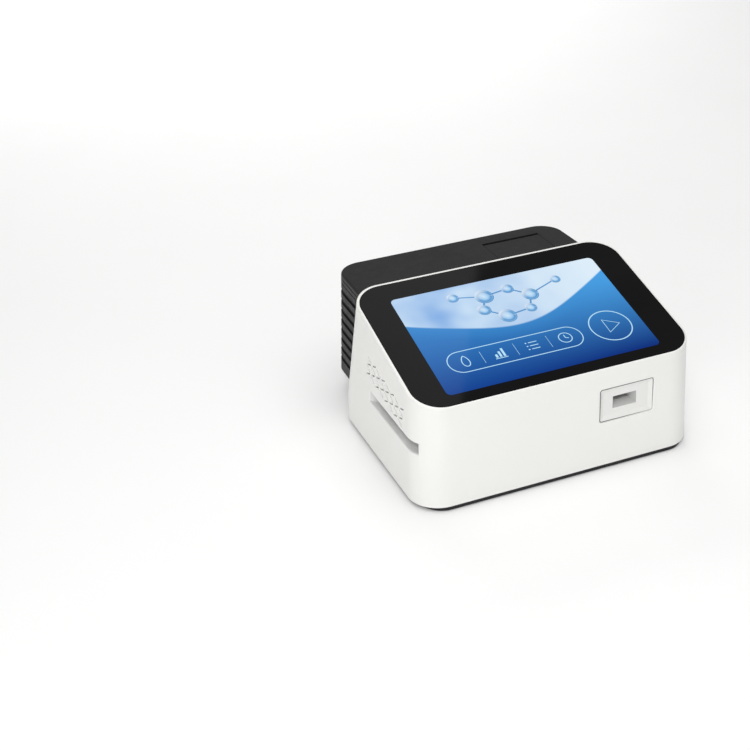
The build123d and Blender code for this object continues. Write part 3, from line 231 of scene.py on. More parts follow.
def make_finishes():
    """Every finish on the instrument and under it, by a maker's plain name.

    The white insert turns greyer from a little way behind the port's frame, in the cassette mouth:
    painted shade in the mouth.
    """
    mouth_shade_start = 0.3
    mouth_shade_plane = (FRONT + PORT_DEPTH + mouth_shade_start) * MM - PORT_Z * MM * math.tan(PORT_LEAN)
    made = (
        Finish("white_shell", (0.83, 0.83, 0.805), 0.42, coat=0.08, coat_roughness=0.3)
        .mottle(9.0, 0.012)
        .polish(60.0, 0.05)
        .grain(2600.0, 6e-6, 3.0),
        Finish("white_insert", (0.79, 0.79, 0.77), 0.45)
        .mottle(40.0, 0.012)
        # painted shade: the insert turns greyer inside the cassette mouth, behind the port's frame
        .painted_shade_behind((0.6, 0.6, 0.585), mouth_shade_plane, PORT_LEAN)
        .polish(90.0, 0.05)
        .grain(3000.0, 5e-6, 3.0),
        Finish("black_shell", (0.016, 0.016, 0.0165), 0.5, specular=0.2)
        .mottle(30.0, 0.1)
        .polish(120.0, 0.06)
        .grain(1500.0, 2.2e-5, 4.0),
        Finish("black_base", (0.016, 0.016, 0.017), 0.6, specular=0.25)
        .mottle(30.0, 0.1)
        .grain(1300.0, 2.5e-5, 4.0),
        Finish("cover_glass", (0.004, 0.004, 0.0045), 0.07, specular=0.09)
        .mottle(20.0, 0.15)
        .polish(35.0, 0.025, 5.0),
        Finish("grip_grey", (0.68, 0.68, 0.67), 0.6, specular=0.3)
        .mottle(50.0, 0.06)
        .polish(150.0, 0.06)
        .grain(1700.0, 2.6e-5, 4.0),
        # painted shade: the dark grey of the bead that stands in for the shadow line round the port
        Finish("shade_bead_grey", (0.19, 0.19, 0.188), 0.7, specular=0.3)
        .mottle(80.0, 0.15)
        .grain(2400.0, 1e-5, 3.0),
        Finish("charcoal_plastic", (0.045, 0.045, 0.048), 0.48)
        .mottle(60.0, 0.1)
        .polish(140.0, 0.06)
        .grain(1900.0, 1.6e-5, 4.0),
        Finish("rubber", (0.018, 0.018, 0.018), 0.85)
        .mottle(90.0, 0.25)
        .grain(2400.0, 3e-5, 4.0),
        Finish("zinc_sheet", (0.55, 0.56, 0.58), 0.34, metallic=1.0)
        .mottle(45.0, 0.1, 4.0)
        .polish(80.0, 0.1, 4.0)
        .grain(500.0, 4e-6),
        Finish("bright_steel", (0.6, 0.6, 0.61), 0.22, metallic=1.0)
        .mottle(60.0, 0.06)
        .polish(900.0, 0.07, 2.0, (1.0, 0.05, 1.0)),
        Finish("screw_steel", (0.33, 0.33, 0.35), 0.3, metallic=1.0)
        .mottle(300.0, 0.12)
        .polish(500.0, 0.1),
        Finish("milled_aluminium", (0.66, 0.67, 0.69), 0.32, metallic=1.0)
        .mottle(30.0, 0.05)
        .polish(1100.0, 0.1, 2.0, (0.04, 1.0, 1.0))
        .grain(1600.0, 3e-6, 2.0, (0.04, 1.0, 1.0)),
        Finish("black_anodised", (0.03, 0.03, 0.033), 0.38, metallic=0.4)
        .mottle(70.0, 0.1)
        .polish(200.0, 0.07)
        .grain(3000.0, 5e-6),
        Finish("solder_mask", (0.012, 0.11, 0.045), 0.32, coat=0.3, coat_roughness=0.15)
        .mottle(420.0, 0.35, 1.0, (1.0, 0.15, 1.0))
        .polish(300.0, 0.08)
        .grain(900.0, 2e-5, 1.0),
        Finish("display_back", (0.3, 0.31, 0.33), 0.35, metallic=0.9)
        .mottle(40.0, 0.06)
        .polish(160.0, 0.06),
        Finish("roll_paper", (0.84, 0.84, 0.82), 0.7)
        .mottle(35.0, 0.03)
        .grain(9000.0, 1.5e-5, 1.0, (1.0, 0.03, 0.03)),
        Finish("coated_lens", (0.02, 0.018, 0.035), 0.12, coat=1.0, coat_roughness=0.03)
        .mottle(150.0, 0.2)
        .polish(90.0, 0.03),
        Finish("brass", (0.66, 0.48, 0.19), 0.27, metallic=1.0)
        .mottle(150.0, 0.08)
        .polish(700.0, 0.08),
        Finish("nickel_shell", (0.62, 0.61, 0.59), 0.25, metallic=1.0)
        .mottle(200.0, 0.07)
        .polish(600.0, 0.08),
        Finish("gold_contact", (0.78, 0.56, 0.2), 0.2, metallic=1.0)
        .mottle(400.0, 0.06)
        .polish(900.0, 0.05),
        Finish("white_ink", (0.7, 0.7, 0.69), 0.5)
        .mottle(500.0, 0.05)
        .grain(5000.0, 4e-6),
        Finish("studio_floor", (0.93, 0.93, 0.925), 0.6, specular=0.25)
        .mottle(3.0, 0.006)
        .polish(8.0, 0.05),
    )
    return {finish.name: finish.material for finish in made}


finishes = make_finishes()

NODE_FINISH = {
    "front_shell": "white_shell",
    "touch_glass": "cover_glass",
    "lcd_module": "display_back",
    "lcd_bracket": "zinc_sheet",
    "bracket_screws": "screw_steel",
    "port_bezel": "white_insert",
    "left_grip_liner": "grip_grey",
    "right_grip_liner": "grip_grey",
    "rear_housing": "black_shell",
    "rear_panel": "charcoal_plastic",
    "panel_screws": "screw_steel",
    "usb_sockets": "nickel_shell",
    "network_socket": "nickel_shell",
    "io_board": "solder_mask",
    "power_inlet": "charcoal_plastic",
    "switch_case": "charcoal_plastic",
    "power_rocker": "black_base",
    "fan_frame": "black_base",
    "fan_rotor": "charcoal_plastic",
    "base_tray": "black_base",
    "rubber_feet": "rubber",
    "base_screws": "screw_steel",
    "main_board": "solder_mask",
    "board_spacers": "brass",
    "scan_deck": "zinc_sheet",
    "deck_pillars": "bright_steel",
    "front_rod_block": "milled_aluminium",
    "rear_rod_block": "milled_aluminium",
    "guide_rods": "bright_steel",
    "cassette_carriage": "black_anodised",
    "lead_screw": "bright_steel",
    "motor_bracket": "zinc_sheet",
    "stepper_motor": "black_anodised",
    "optics_bridge": "milled_aluminium",
    "optics_head": "black_anodised",
    "lens_barrel": "coated_lens",
    "code_reader": "charcoal_plastic",
    "printer_bucket": "charcoal_plastic",
    "print_head": "milled_aluminium",
    "printer_motor": "bright_steel",
    "drive_pinion": "brass",
    "printer_lid": "black_shell",
    "lid_hinge_pin": "bright_steel",
    "platen_rubber": "rubber",
    "platen_axle": "bright_steel",
    "platen_gear": "brass",
    "paper_roll": "roll_paper",
}


def finish_cad_nodes():
    """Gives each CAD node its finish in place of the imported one."""
    for node, finish in NODE_FINISH.items():
        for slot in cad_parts[node].material_slots:
            slot.material = finishes[finish]


finish_cad_nodes()

# Meshes and outlines


def mesh_piece(name, points, faces, finish, body="body", slot=None, uv=None, smooth=False):
    """A piece from arrays of points and faces, riding on a body; uv is one pair for each point."""
    mesh = bpy.data.meshes.new(name)
    mesh.from_pydata(np.asarray(points, float).tolist(), [], np.asarray(faces).tolist())
    if uv is not None:
        layer = mesh.uv_layers.new(name="surface")
        corners = np.zeros(len(mesh.loops), np.int32)
        mesh.loops.foreach_get("vertex_index", corners)
        layer.data.foreach_set("uv", np.asarray(uv, np.float32)[corners].ravel())
    if smooth:
        mesh.polygons.foreach_set("use_smooth", np.ones(len(mesh.polygons), bool))
    mesh.materials.append(finishes[finish])
    mesh.update()
    piece = bpy.data.objects.new(name, mesh)
    bpy.context.scene.collection.objects.link(piece)
    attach(piece, body)


def grid_faces(rows, columns, wrap=False):
    """Quads between neighbouring points of a grid; with wrap the last column joins the first."""
    steps = columns if wrap else columns - 1
    row, column = np.meshgrid(np.arange(rows - 1), np.arange(steps), indexing="ij")
    beside = (column + 1) % columns
    low, high = row * columns, (row + 1) * columns
    corners = [low + column, low + beside, high + beside, high + column]
    return np.stack(corners, axis=-1).reshape(-1, 4)


def across_ring(count):
    """Quads from side to side that fill a ring of an even count of points, given anticlockwise."""
    step = np.arange(count // 2 - 1)
    return np.stack([step, step + 1, count - 2 - step, count - 1 - step], axis=1)


def joined(parts):
    """Several (points, faces) as one."""
    points = [part_points for part_points, _ in parts]
    starts = np.cumsum([0, *[len(part_points) for part_points in points[:-1]]])
    faces = [part_faces + start for (_, part_faces), start in zip(parts, starts)]
    return np.concatenate(points), np.concatenate(faces)


def arc(centre, radius, start, end, count):
    """Points on a circle's arc from one angle to another, in degrees."""
    angle = np.radians(np.linspace(start, end, count))
    x, y = centre[0] + radius * np.cos(angle), centre[1] + radius * np.sin(angle)
    return np.stack([x, y], axis=1)


def circle(centre, radius, count):
    """Points once round a circle."""
    return arc(centre, radius, 0, 360, count + 1)[:-1]


def round_box(centre, width, height, corner, per_corner):
    """A rectangle's outline with its four corners on quarter arcs of so many points each."""
    quarters = []
    for turn, (side, rise) in enumerate(((1, 1), (-1, 1), (-1, -1), (1, -1))):
        middle_x = centre[0] + side * (width / 2 - corner)
        middle_y = centre[1] + rise * (height / 2 - corner)
        quarters.append(arc((middle_x, middle_y), corner, 90 * turn, 90 * turn + 90, per_corner))
    return np.concatenate(quarters)


def left_normals(path, closed):
    """Each point's direction, from the point before to the one after, turned a quarter left."""
    if closed:
        ahead, behind = np.roll(path, -1, axis=0), np.roll(path, 1, axis=0)
    else:
        ahead, behind = np.vstack([path[1:], path[-1:]]), np.vstack([path[:1], path[:-1]])
    along = ahead - behind
    along /= np.linalg.norm(along, axis=1, keepdims=True)
    return np.stack([-along[:, 1], along[:, 0]], axis=1)


def strip(path, width, closed=False):
    """A flat strip: the path offset by half the width along its left-hand normals, both ways."""
    path = np.asarray(path, float)
    side = left_normals(path, closed) * width / 2
    return np.concatenate([path - side, path + side]), grid_faces(2, len(path), wrap=closed)


# Screen


def screen_axes():
    """The glass's top face: its lower edge's middle, the direction up its slope and its normal.

    The normal is the direction in which the glass's own points spread least.
    """
    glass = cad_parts["touch_glass"].data
    flat = np.zeros(len(glass.vertices) * 3)
    glass.vertices.foreach_get("co", flat)
    points = np.unique(flat.reshape(-1, 3).round(6), axis=0)
    _, _, directions = np.linalg.svd(points - points.mean(0), full_matrices=False)
    out = directions[2] * np.sign(directions[2][2])
    up_slope = np.array([0.0, out[2], -out[1]])
    top = points[points @ out > (points @ out).max() - 1e-5]
    foot = top[np.argmin(top @ up_slope)]
    return np.array([0.0, foot[1], foot[2]]), up_slope, out


SCREEN_FOOT, SCREEN_UP, SCREEN_OUT = screen_axes()

# The display, and where it starts above the glass's lower edge
DISPLAY_WIDTH = 216.96 * MM
DISPLAY_HEIGHT = 135.6 * MM
DISPLAY_START = 12.2 * MM
DISPLAY_CORNER = 5.0 * MM

# How far the picture, the motif's links and the lines on top lie off the glass
PICTURE_LIFT = 0.03 * MM
MOTIF_LIFT = 0.05 * MM
LINE_LIFT = 0.07 * MM

# The widths of the drawn lines, and of the bars and points in the signs, in millimetres
LINE_WIDTH = 0.9
START_LINE_WIDTH = 1.1
DIVIDER_WIDTH = 0.35
BAR_WIDTH = 2.2
POINT_WIDTH = 1.3

# The menu's long outline, and the middles and sizes of the signs in it
MENU_LEVEL = 36.0
MENU_MIDDLE = -24.0
MENU_WIDTH = 136.0
MENU_HEIGHT = 27.0
MENU_CORNER = 13.4
DROP_X, DROP_SIZE = -75.0, 6.8
BARS_X, BARS_SIZE = -41.0, 6.2
ROWS_X, ROWS_SIZE = -7.0, 6.0
CLOCK_X, CLOCK_SIZE = 27.0, 6.4
DIVIDERS_X = (-58.0, -24.0, 10.0)
DIVIDER_REACH = 8.0

# The start ring and the three points of the sign in it
START_MIDDLE = (76.0, 38.0)
START_RADIUS = 20.5
START_SIGN = ((71.5, 47.5), (86.0, 38.5), (71.5, 29.5))

# The motif: six spheres on an oval ring, and two outside it, each hung on a sphere of the ring
MOTIF_MIDDLE = (-2.0, 99.0)
MOTIF_REACH = (27.0, 19.0)
MOTIF_TURN = 12
RING_RADII = (8.5, 6.5, 9.5, 7.0, 9.0, 6.0)
RING_LINK_WIDTH = 1.8
OUTER_PLACES = ((58.0, 116.0), (-50.0, 120.0))
OUTER_RADII = (5.5, 6.0)
OUTER_HOLDERS = (0, 2)
OUTER_LINK_WIDTH = 1.5


def on_screen(x, s, lift):
    """Places on the display: x to the right of its middle, s up the slope, lifted off the glass."""
    x, s = np.broadcast_arrays(np.asarray(x, float), np.asarray(s, float))
    flat = SCREEN_FOOT + np.outer(s.ravel() + DISPLAY_START, SCREEN_UP) + lift * SCREEN_OUT
    flat[:, 0] += x.ravel()
    return flat


def ribbon(path, width, closed=False, lift=LINE_LIFT):
    """A strip along a path on the display, both in millimetres."""
    flat, faces = strip(np.asarray(path, float) * MM, width * MM, closed)
    return on_screen(flat[:, 0], flat[:, 1], lift), faces


def disc(centre, radius, rings=14, spokes=48):
    """A flat round patch: rings of points whose radius grows evenly, with turn and radius as UV."""
    inner_ring = 0.04
    ring, spoke = np.meshgrid(np.linspace(inner_ring, 1, rings), np.arange(spokes), indexing="ij")
    angle = spoke * 2 * np.pi / spokes
    x = (centre[0] + radius * ring * np.cos(angle)) * MM
    s = (centre[1] + radius * ring * np.sin(angle)) * MM
    uv = np.stack([angle / (2 * np.pi), ring], axis=-1).reshape(-1, 2)
    faces = np.concatenate([across_ring(spokes), grid_faces(rings, spokes, wrap=True)[:, ::-1]])
    return on_screen(x, s, LINE_LIFT), faces, uv


def lit_material(name, colour_source):
    """A lit surface as glossy as the cover glass, black but for the colour that glows from it."""
    finish = Finish(name, (0.0, 0.0, 0.0), 0.07, specular=0.09)
    finish.link(colour_source(finish), finish.shader.inputs["Emission Color"])
    finish.set("Emission Strength", 1.0)
    finish.polish(35.0, 0.025, 5.0)
    finishes[name] = finish.material


def uv_parts(finish):
    """The piece's own two surface coordinates."""
    coordinates = finish.add("ShaderNodeTexCoord").outputs["UV"]
    split = finish.add("ShaderNodeSeparateXYZ")
    finish.link(coordinates, split.inputs["Vector"])
    return split.outputs["X"], split.outputs["Y"]


def maths(finish, operation, first, second=None, clamp=False):
    """One arithmetic step on sockets or plain numbers."""
    node = finish.add("ShaderNodeMath", operation=operation, use_clamp=clamp)
    for socket, value in zip(node.inputs, (first, second)):
        if value is None:
            continue
        if isinstance(value, (int, float)):
            socket.default_value = value
        else:
            finish.link(value, socket)
    return node.outputs["Value"]


def blend(finish, factor, low, high):
    """A mix of two colours, each a plain colour or a socket."""
    node = finish.add("ShaderNodeMix", data_type="RGBA")
    finish.link(factor, node.inputs["Factor"])
    for name, value in (("A", low), ("B", high)):
        if isinstance(value, tuple):
            node.inputs[name].default_value = (*value, 1.0)
        else:
            finish.link(value, node.inputs[name])
    return node.outputs["Result"]


def picture_colour(finish):
    """Blue that deepens downwards, below a pale sky with clouds that clear to the right.

    The sky's lower bound is v = 0.5 + 1.05 (u - 0.44)^2 + 0.02 sin(9 u): a parabola, lowest left
    of the middle, with a slow sine on it. The step across it is 1 / 65 of the height. The blue is
    brighter with height and just below the bound, and draws to a middle blue on the left.
    """
    deep_blue, high_blue = (0.0008, 0.024, 0.2), (0.065, 0.36, 0.8)
    left_blue, bound_blue = (0.009, 0.1, 0.42), (0.05, 0.3, 0.68)
    cloud_blue, cloud_white, clear_white = (0.2, 0.4, 0.76), (0.62, 0.78, 0.93), (0.72, 0.85, 0.95)
    u, v = uv_parts(finish)
    from_lowest = maths(finish, "SUBTRACT", u, 0.44)
    bowl = maths(finish, "MULTIPLY", maths(finish, "MULTIPLY", from_lowest, from_lowest), 1.05)
    wave = maths(finish, "MULTIPLY", maths(finish, "SINE", maths(finish, "MULTIPLY", u, 9.0)), 0.02)
    bound = maths(finish, "ADD", maths(finish, "ADD", bowl, wave), 0.5)
    above = maths(finish, "SUBTRACT", v, bound)
    sky_share = maths(finish, "MULTIPLY", above, 65.0, clamp=True)
    rise = maths(finish, "MULTIPLY", v, 1.25, clamp=True)
    blue = blend(finish, rise, deep_blue, high_blue)
    left = maths(finish, "MULTIPLY", maths(finish, "SUBTRACT", 0.9, u), 0.45, clamp=True)
    blue = blend(finish, left, blue, left_blue)
    below = maths(finish, "MULTIPLY", above, -9.0)
    glow = maths(finish, "MULTIPLY", maths(finish, "SUBTRACT", 1.0, below), 0.3, clamp=True)
    blue = blend(finish, glow, blue, bound_blue)
    cloud = finish.spread(finish.noise(16.0, 2.0), 0.0, 1.0)
    pale = blend(finish, cloud, cloud_blue, cloud_white)
    far_right = maths(finish, "MULTIPLY", maths(finish, "SUBTRACT", u, 0.35), 1.7, clamp=True)
    pale = blend(finish, far_right, pale, clear_white)
    return blend(finish, sky_share, blue, pale)


def bubble_colour(finish):
    """A clear sphere seen from the front: pale in the middle, a deep rim and a bright upper edge.

    The shine grows with the radius and with the cosine of the angle from the lit side.
    """
    middle, rim, shine_white = (0.62, 0.8, 0.95), (0.03, 0.14, 0.38), (0.9, 0.96, 1.0)
    between = ((0.45, (0.36, 0.6, 0.86)), (0.72, (0.1, 0.3, 0.6)), (0.9, (0.2, 0.45, 0.75)))
    lit_turn = 0.36
    turn, radius = uv_parts(finish)
    ramp = finish.add("ShaderNodeValToRGB")
    finish.link(radius, ramp.inputs["Fac"])
    stops = ramp.color_ramp.elements
    stops[0].position, stops[0].color = 0.0, (*middle, 1.0)
    stops[1].position, stops[1].color = 1.0, (*rim, 1.0)
    for position, colour in between:
        stops.new(position).color = (*colour, 1.0)
    from_lit = maths(finish, "MULTIPLY", maths(finish, "SUBTRACT", turn, lit_turn), 2 * math.pi)
    lit_side = maths(finish, "COSINE", from_lit)
    shine = maths(finish, "MULTIPLY", maths(finish, "MULTIPLY", lit_side, radius), 0.75, clamp=True)
    return blend(finish, shine, ramp.outputs["Color"], shine_white)


def plain_glow(colour):
    """A source of one even colour with a faint drift."""

    def source(finish):
        drift = finish.spread(finish.noise(30.0), 0.0, 1.0)
        return blend(finish, drift, tuple(0.94 * c for c in colour), colour)

    return source


def screen_picture():
    """The lit display as a sheet: its half width at each height follows the corner arcs.

    Half width = w/2 - r + sqrt(r^2 - (r - d)^2), with d the distance to the nearer end, up to r.
    """
    corner_rows, middle_rows, columns = 9, 24, 41
    ends = DISPLAY_CORNER * (1 - np.cos(np.linspace(0, np.pi / 2, corner_rows)))
    middle = np.linspace(DISPLAY_CORNER, DISPLAY_HEIGHT - DISPLAY_CORNER, middle_rows)[1:-1]
    s = np.concatenate([ends, middle, DISPLAY_HEIGHT - ends[::-1]])
    near = np.minimum(np.minimum(s, DISPLAY_HEIGHT - s), DISPLAY_CORNER)
    bulge = np.sqrt(DISPLAY_CORNER**2 - (DISPLAY_CORNER - near) ** 2)
    half = DISPLAY_WIDTH / 2 - DISPLAY_CORNER + bulge
    x = half[:, None] * np.linspace(-1, 1, columns)[None, :]
    rows = np.broadcast_to(s[:, None], x.shape)
    uv = np.stack([x / DISPLAY_WIDTH + 0.5, rows / DISPLAY_HEIGHT], axis=-1).reshape(-1, 2)
    sheet = on_screen(x, rows, PICTURE_LIFT)
    mesh_piece("screen_picture", sheet, grid_faces(*x.shape), "screen_glow", slot="lcd", uv=uv)


def drop_sign(centre, size):
    """A drop: a round foot whose sides draw together at the top, as one closed curve.

    x = 0.62 size sin t sqrt(sin(t / 2)) and y = size cos t, with t going once round from the tip.
    """
    angle = np.linspace(0, 2 * np.pi, 29)[:-1]
    x = centre[0] + size * 0.62 * np.sin(angle) * np.sqrt(np.sin(angle / 2))
    y = centre[1] + size * np.cos(angle)
    return [ribbon(np.stack([x, y], axis=1), LINE_WIDTH, closed=True)]


def bars_sign(centre, size):
    """Three standing bars of rising height over a foot line."""
    foot = centre[1] - size
    gap = size * 0.2
    strips = [ribbon([(centre[0] - size, foot), (centre[0] + size, foot)], LINE_WIDTH)]
    for k, rise in enumerate((0.7, 1.2, 1.7)):
        x = centre[0] + (k - 1) * size * 0.62
        strips.append(ribbon([(x, foot + gap), (x, foot + size * (rise + 0.2))], BAR_WIDTH))
    return strips


def clock_sign(centre, size):
    """A ring with two hands."""
    long_tip = (centre[0], centre[1] + size * 0.62)
    short_tip = (centre[0] + size * 0.48, centre[1] - size * 0.2)
    return [
        ribbon(circle(centre, size, 40), LINE_WIDTH, closed=True),
        ribbon([long_tip, centre], LINE_WIDTH),
        ribbon([centre, short_tip], LINE_WIDTH),
    ]


def rows_sign(centre, size):
    """Three short rows, each after a point."""
    left, right = centre[0] - size, centre[0] + size
    row_start, point_end = centre[0] - size * 0.45, centre[0] - size * 0.75
    strips = []
    for k in (-1, 0, 1):
        level = centre[1] + k * size * 0.72
        strips.append(ribbon([(row_start, level), (right, level)], LINE_WIDTH))
        strips.append(ribbon([(left, level), (point_end, level)], POINT_WIDTH))
    return strips


def screen_signs():
    """The lower menu: a long outline with round ends and four signs in it, and the start ring."""
    outline = round_box((MENU_MIDDLE, MENU_LEVEL), MENU_WIDTH, MENU_HEIGHT, MENU_CORNER, 12)
    strips = [
        ribbon(outline, LINE_WIDTH, closed=True),
        ribbon(circle(START_MIDDLE, START_RADIUS, 80), START_LINE_WIDTH, closed=True),
        ribbon(START_SIGN, START_LINE_WIDTH, closed=True),
        *drop_sign((DROP_X, MENU_LEVEL), DROP_SIZE),
        *bars_sign((BARS_X, MENU_LEVEL), BARS_SIZE),
        *rows_sign((ROWS_X, MENU_LEVEL), ROWS_SIZE),
        *clock_sign((CLOCK_X, MENU_LEVEL), CLOCK_SIZE),
    ]
    low, high = MENU_LEVEL - DIVIDER_REACH, MENU_LEVEL + DIVIDER_REACH
    strips += [ribbon([(x, low), (x, high)], DIVIDER_WIDTH) for x in DIVIDERS_X]
    mesh_piece("screen_signs", *joined(strips), "screen_ink", slot="lcd")


def screen_motif():
    """A ring of six clear spheres, and two beside it, with links between them, on the pale sky."""
    count = len(RING_RADII)
    ring = []
    for k in range(count):
        turn = math.radians(60 * k + MOTIF_TURN)
        x = MOTIF_MIDDLE[0] + MOTIF_REACH[0] * math.cos(turn)
        ring.append((x, MOTIF_MIDDLE[1] + MOTIF_REACH[1] * math.sin(turn)))
    links = [
        ribbon([ring[k], ring[(k + 1) % count]], RING_LINK_WIDTH, lift=MOTIF_LIFT)
        for k in range(count)
    ]
    for holder, place in zip(OUTER_HOLDERS, OUTER_PLACES):
        links.append(ribbon([ring[holder], place], OUTER_LINK_WIDTH, lift=MOTIF_LIFT))
    mesh_piece("screen_links", *joined(links), "screen_link", slot="lcd")
    spheres = zip([*ring, *OUTER_PLACES], RING_RADII + OUTER_RADII)
    patches = [disc(place, radius) for place, radius in spheres]
    points, faces = joined([(places, quads) for places, quads, _ in patches])
    uv = np.concatenate([patch_uv for _, _, patch_uv in patches])
    mesh_piece("screen_spheres", points, faces, "screen_bubble", slot="lcd", uv=uv)


def make_screen():
    """The lit picture and everything drawn on it."""
    lit_material("screen_glow", picture_colour)
    lit_material("screen_bubble", bubble_colour)
    lit_material("screen_ink", plain_glow((0.5, 0.8, 0.98)))
    lit_material("screen_link", plain_glow((0.12, 0.32, 0.62)))
    screen_picture()
    screen_motif()
    screen_signs()


make_screen()

# Port bead of painted shade, contacts, pin, rocker marks and screw sockets


def bar(outline, stations):
    """A closed bar along the depth: the outline, in x and z, scaled about its middle at stations.

    A station is the depth from the front, the scale and the rise; faces across the outline close
    both ends.
    """
    outline = np.asarray(outline, float)
    middle = outline.mean(0)
    depth, scale, rise = np.asarray(stations, float).T
    rings = middle + (outline - middle)[None] * scale[:, None, None]
    rings[..., 1] += rise[:, None]
    y = np.broadcast_to(FRONT + depth[:, None], rings.shape[:2])
    points = np.stack([rings[..., 0], y, rings[..., 1]], axis=-1).reshape(-1, 3) * MM
    count = len(outline)
    cap = across_ring(count)
    walls = grid_faces(len(stations), count, wrap=True)
    return points, np.concatenate([walls[:, ::-1], cap, cap[:, ::-1] + (len(stations) - 1) * count])


def lying_box(centre, width, height, span, bevel=0.15):
    """A bar of oblong outline between two depths, drawn in a little at both ends."""
    outline = round_box(centre, width, height, min(bevel, 0.3 * min(width, height)), 3)
    small = 1 - 2 * bevel / max(width, height)
    near, far = span
    ends = [(near, small, 0), (near + bevel, 1, 0), (far - bevel, 1, 0), (far, small, 0)]
    return bar(outline, ends)


def usb_insides():
    """A tongue in the upper part of each port, with four contact strips under it."""
    middle_x, port_levels = 22.0, (53.55, 60.65)
    tongue_rise, tongue_width, tongue_height, tongue_span = 0.75, 11.2, 1.9, (243.9, 255.2)
    contact_drop, contact_width, contact_height, contact_span = 0.27, 1.1, 0.16, (244.0, 254.2)
    contact_step, contact_bevel = 2.4, 0.05
    tongues, contacts = [], []
    for level in port_levels:
        centre = (middle_x, level + tongue_rise)
        tongues.append(lying_box(centre, tongue_width, tongue_height, tongue_span))
        for k in range(4):
            centre = (middle_x + (k - 1.5) * contact_step, level - contact_drop)
            contact = lying_box(centre, contact_width, contact_height, contact_span, contact_bevel)
            contacts.append(contact)
    mesh_piece("usb_tongues", *joined(tongues), "charcoal_plastic")
    mesh_piece("usb_contacts", *joined(contacts), "gold_contact")


def network_insides():
    """Eight spring wires that slope down into the network socket from its upper edge."""
    middle_x, tip_level, step, thickness, corner = -6.0, 58.4, 1.02, 0.46, 0.12
    stations = [(240.0, 1, -3.4), (241.0, 1, -3.4), (252.6, 1, -0.3), (253.6, 0.7, 0)]
    wires = []
    for k in range(8):
        centre = (middle_x + (k - 3.5) * step, tip_level)
        wires.append(bar(round_box(centre, thickness, thickness, corner, 2), stations))
    mesh_piece("network_wires", *joined(wires), "gold_contact")


def inlet_pin():
    """The power inlet's middle pin: a round bar whose tip closes on a quarter circle."""
    centre, radius, root, shoulder, tip_scale = (56.0, 52.0), 1.0, 244.8, 252.6, 0.02
    tip = []
    for angle in np.linspace(0, math.pi / 2, 7):
        tip.append((shoulder + radius * math.sin(angle), max(math.cos(angle), tip_scale), 0))
    points, faces = bar(circle(centre, radius, 28), [(root, 1, 0), *tip])
    mesh_piece("inlet_pin", points, faces, "bright_steel")


def rocker_marks():
    """A stroke and a ring printed on the two halves of the rocker, each on its own sloping face.

    The faces meet in a dip over the pivot and stand out more with the way from it; side is 1 for
    the upper face and -1 for the lower. A mark's middle lies a set way along its face.
    """
    lean = math.radians(7.0)
    pivot = np.array([56.0, FRONT + 252.0, 79.0])
    dip_reach, face_out, face_rise, mark_way, lift = 4.2, 1.3, 5.0, 2.7, 0.03
    across = np.array([-1.0, 0.0, 0.0])
    up = np.array([0.0, math.sin(lean), math.cos(lean)])
    out = np.array([0.0, math.cos(lean), -math.sin(lean)])
    dip = pivot + dip_reach * out

    def lay(flat, side):
        """A mark drawn flat about its middle, laid on a face."""
        slope = (face_out * out + side * face_rise * up) / math.hypot(face_out, face_rise)
        start = dip + lift * (np.cross(across, slope) * side)
        places = start + flat[:, :1] * across + (mark_way + flat[:, 1:] * side) * slope
        return places * MM

    stroke, stroke_faces = strip([(0.0, -1.3), (0.0, 0.0), (0.0, 1.3)], 0.5)
    ring, ring_faces = strip(circle((0.0, 0.0), 1.2, 32), 0.45, closed=True)
    parts = [(lay(stroke, 1), stroke_faces), (lay(ring, -1), ring_faces)]
    mesh_piece("rocker_marks", *joined(parts), "white_ink", body="rocker")


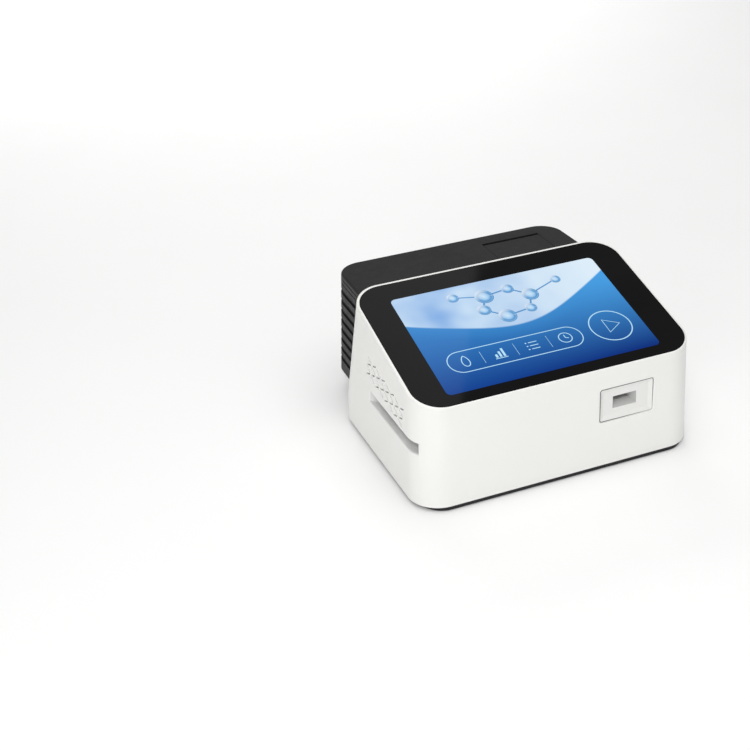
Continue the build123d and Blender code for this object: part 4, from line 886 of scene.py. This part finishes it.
def screw_sockets():
    """A collar with a six-sided hole on each screw head under the base.

    A collar's four rings are its outer wall's two circles and its inner wall's two hexagons; the
    hexagon's radius at an angle t from a face's middle is the half width over cos t.
    """
    screws = ((118.0, 16.0), (-118.0, 16.0), (124.0, 188.0), (-124.0, 188.0))
    head, rim = 1.2, 1.03
    head_radius, rim_radius, hexagon_half_width, spokes = 2.85, 2.7, 1.25, 48
    turn = np.linspace(0, 2 * np.pi, spokes + 1)[:-1]
    from_face = (turn + np.pi / 6) % (np.pi / 3) - np.pi / 6
    hexagon = hexagon_half_width / np.cos(from_face)
    collars = []
    for x, depth in screws:
        rings = []
        for radius, z in ((head_radius, head), (rim_radius, rim), (hexagon, rim), (hexagon, head)):
            ring_x, ring_y = x + radius * np.cos(turn), FRONT + depth + radius * np.sin(turn)
            rings.append(np.stack([ring_x, ring_y, np.full(spokes, z)], axis=1))
        rings.append(rings[0])
        faces = grid_faces(len(rings), spokes, wrap=True)[:, ::-1]
        collars.append((np.concatenate(rings) * MM, faces))
    mesh_piece("base_screw_collars", *joined(collars), "screw_steel")


def port_shade_bead():
    """A dark bead round the port's frame, painted shade for the shadow line at the recess's edge: a
    circle carried along the opening's rounded outline.

    The outline lies in the frame's own plane, which leans back with the hood's face. The circle's
    radius drifts with its place across the frame, within bounds: it is thicker towards the top and
    left, where the painted shade is meant to be darker.
    """
    inset, corner, stand_out = 1.1, 2.0, 1.75
    radius, drift, shadow_side = 0.39, 0.2, np.array([-0.04, 0.06])
    across = np.array([1.0, 0.0, 0.0])
    up = np.array([0.0, math.sin(PORT_LEAN), math.cos(PORT_LEAN)])
    out = np.array([0.0, -math.cos(PORT_LEAN), math.sin(PORT_LEAN)])
    middle = np.array([PORT_X, FRONT + PORT_DEPTH, PORT_Z])
    path = round_box((0.0, 0.0), PORT_WIDTH - inset, PORT_HEIGHT - inset, corner, 9)
    side = -left_normals(path, closed=True)
    turn = np.linspace(2 * np.pi, 0, 13)[:-1]
    # painted shade: the bead grows towards the top and left, where the shadow line is darker
    size = radius + drift * np.clip(path @ shadow_side, -1.0, 1.0)
    flat = path[:, None, :] + (size[:, None] * np.cos(turn))[..., None] * side[:, None, :]
    rise = stand_out + size[:, None] * np.sin(turn)
    places = middle + flat[..., :1] * across + flat[..., 1:] * up + rise[..., None] * out
    points = np.concatenate([places, places[:1]]).reshape(-1, 3) * MM
    faces = grid_faces(len(path) + 1, len(turn), wrap=True)
    mesh_piece("port_shade_bead", points, faces, "shade_bead_grey", smooth=True)


port_shade_bead()
usb_insides()
network_insides()
inlet_pin()
rocker_marks()
screw_sockets()

# Floor


def studio_floor():
    """A wide flat floor under the feet."""
    near, far = -6.0, 6.0
    corners = [(near, near, 0.0), (far, near, 0.0), (far, far, 0.0), (near, far, 0.0)]
    mesh = bpy.data.meshes.new("floor")
    mesh.from_pydata(corners, [], [(0, 1, 2, 3)])
    mesh.materials.append(finishes["studio_floor"])
    floor = bpy.data.objects.new("floor", mesh)
    bpy.context.scene.collection.objects.link(floor)


studio_floor()
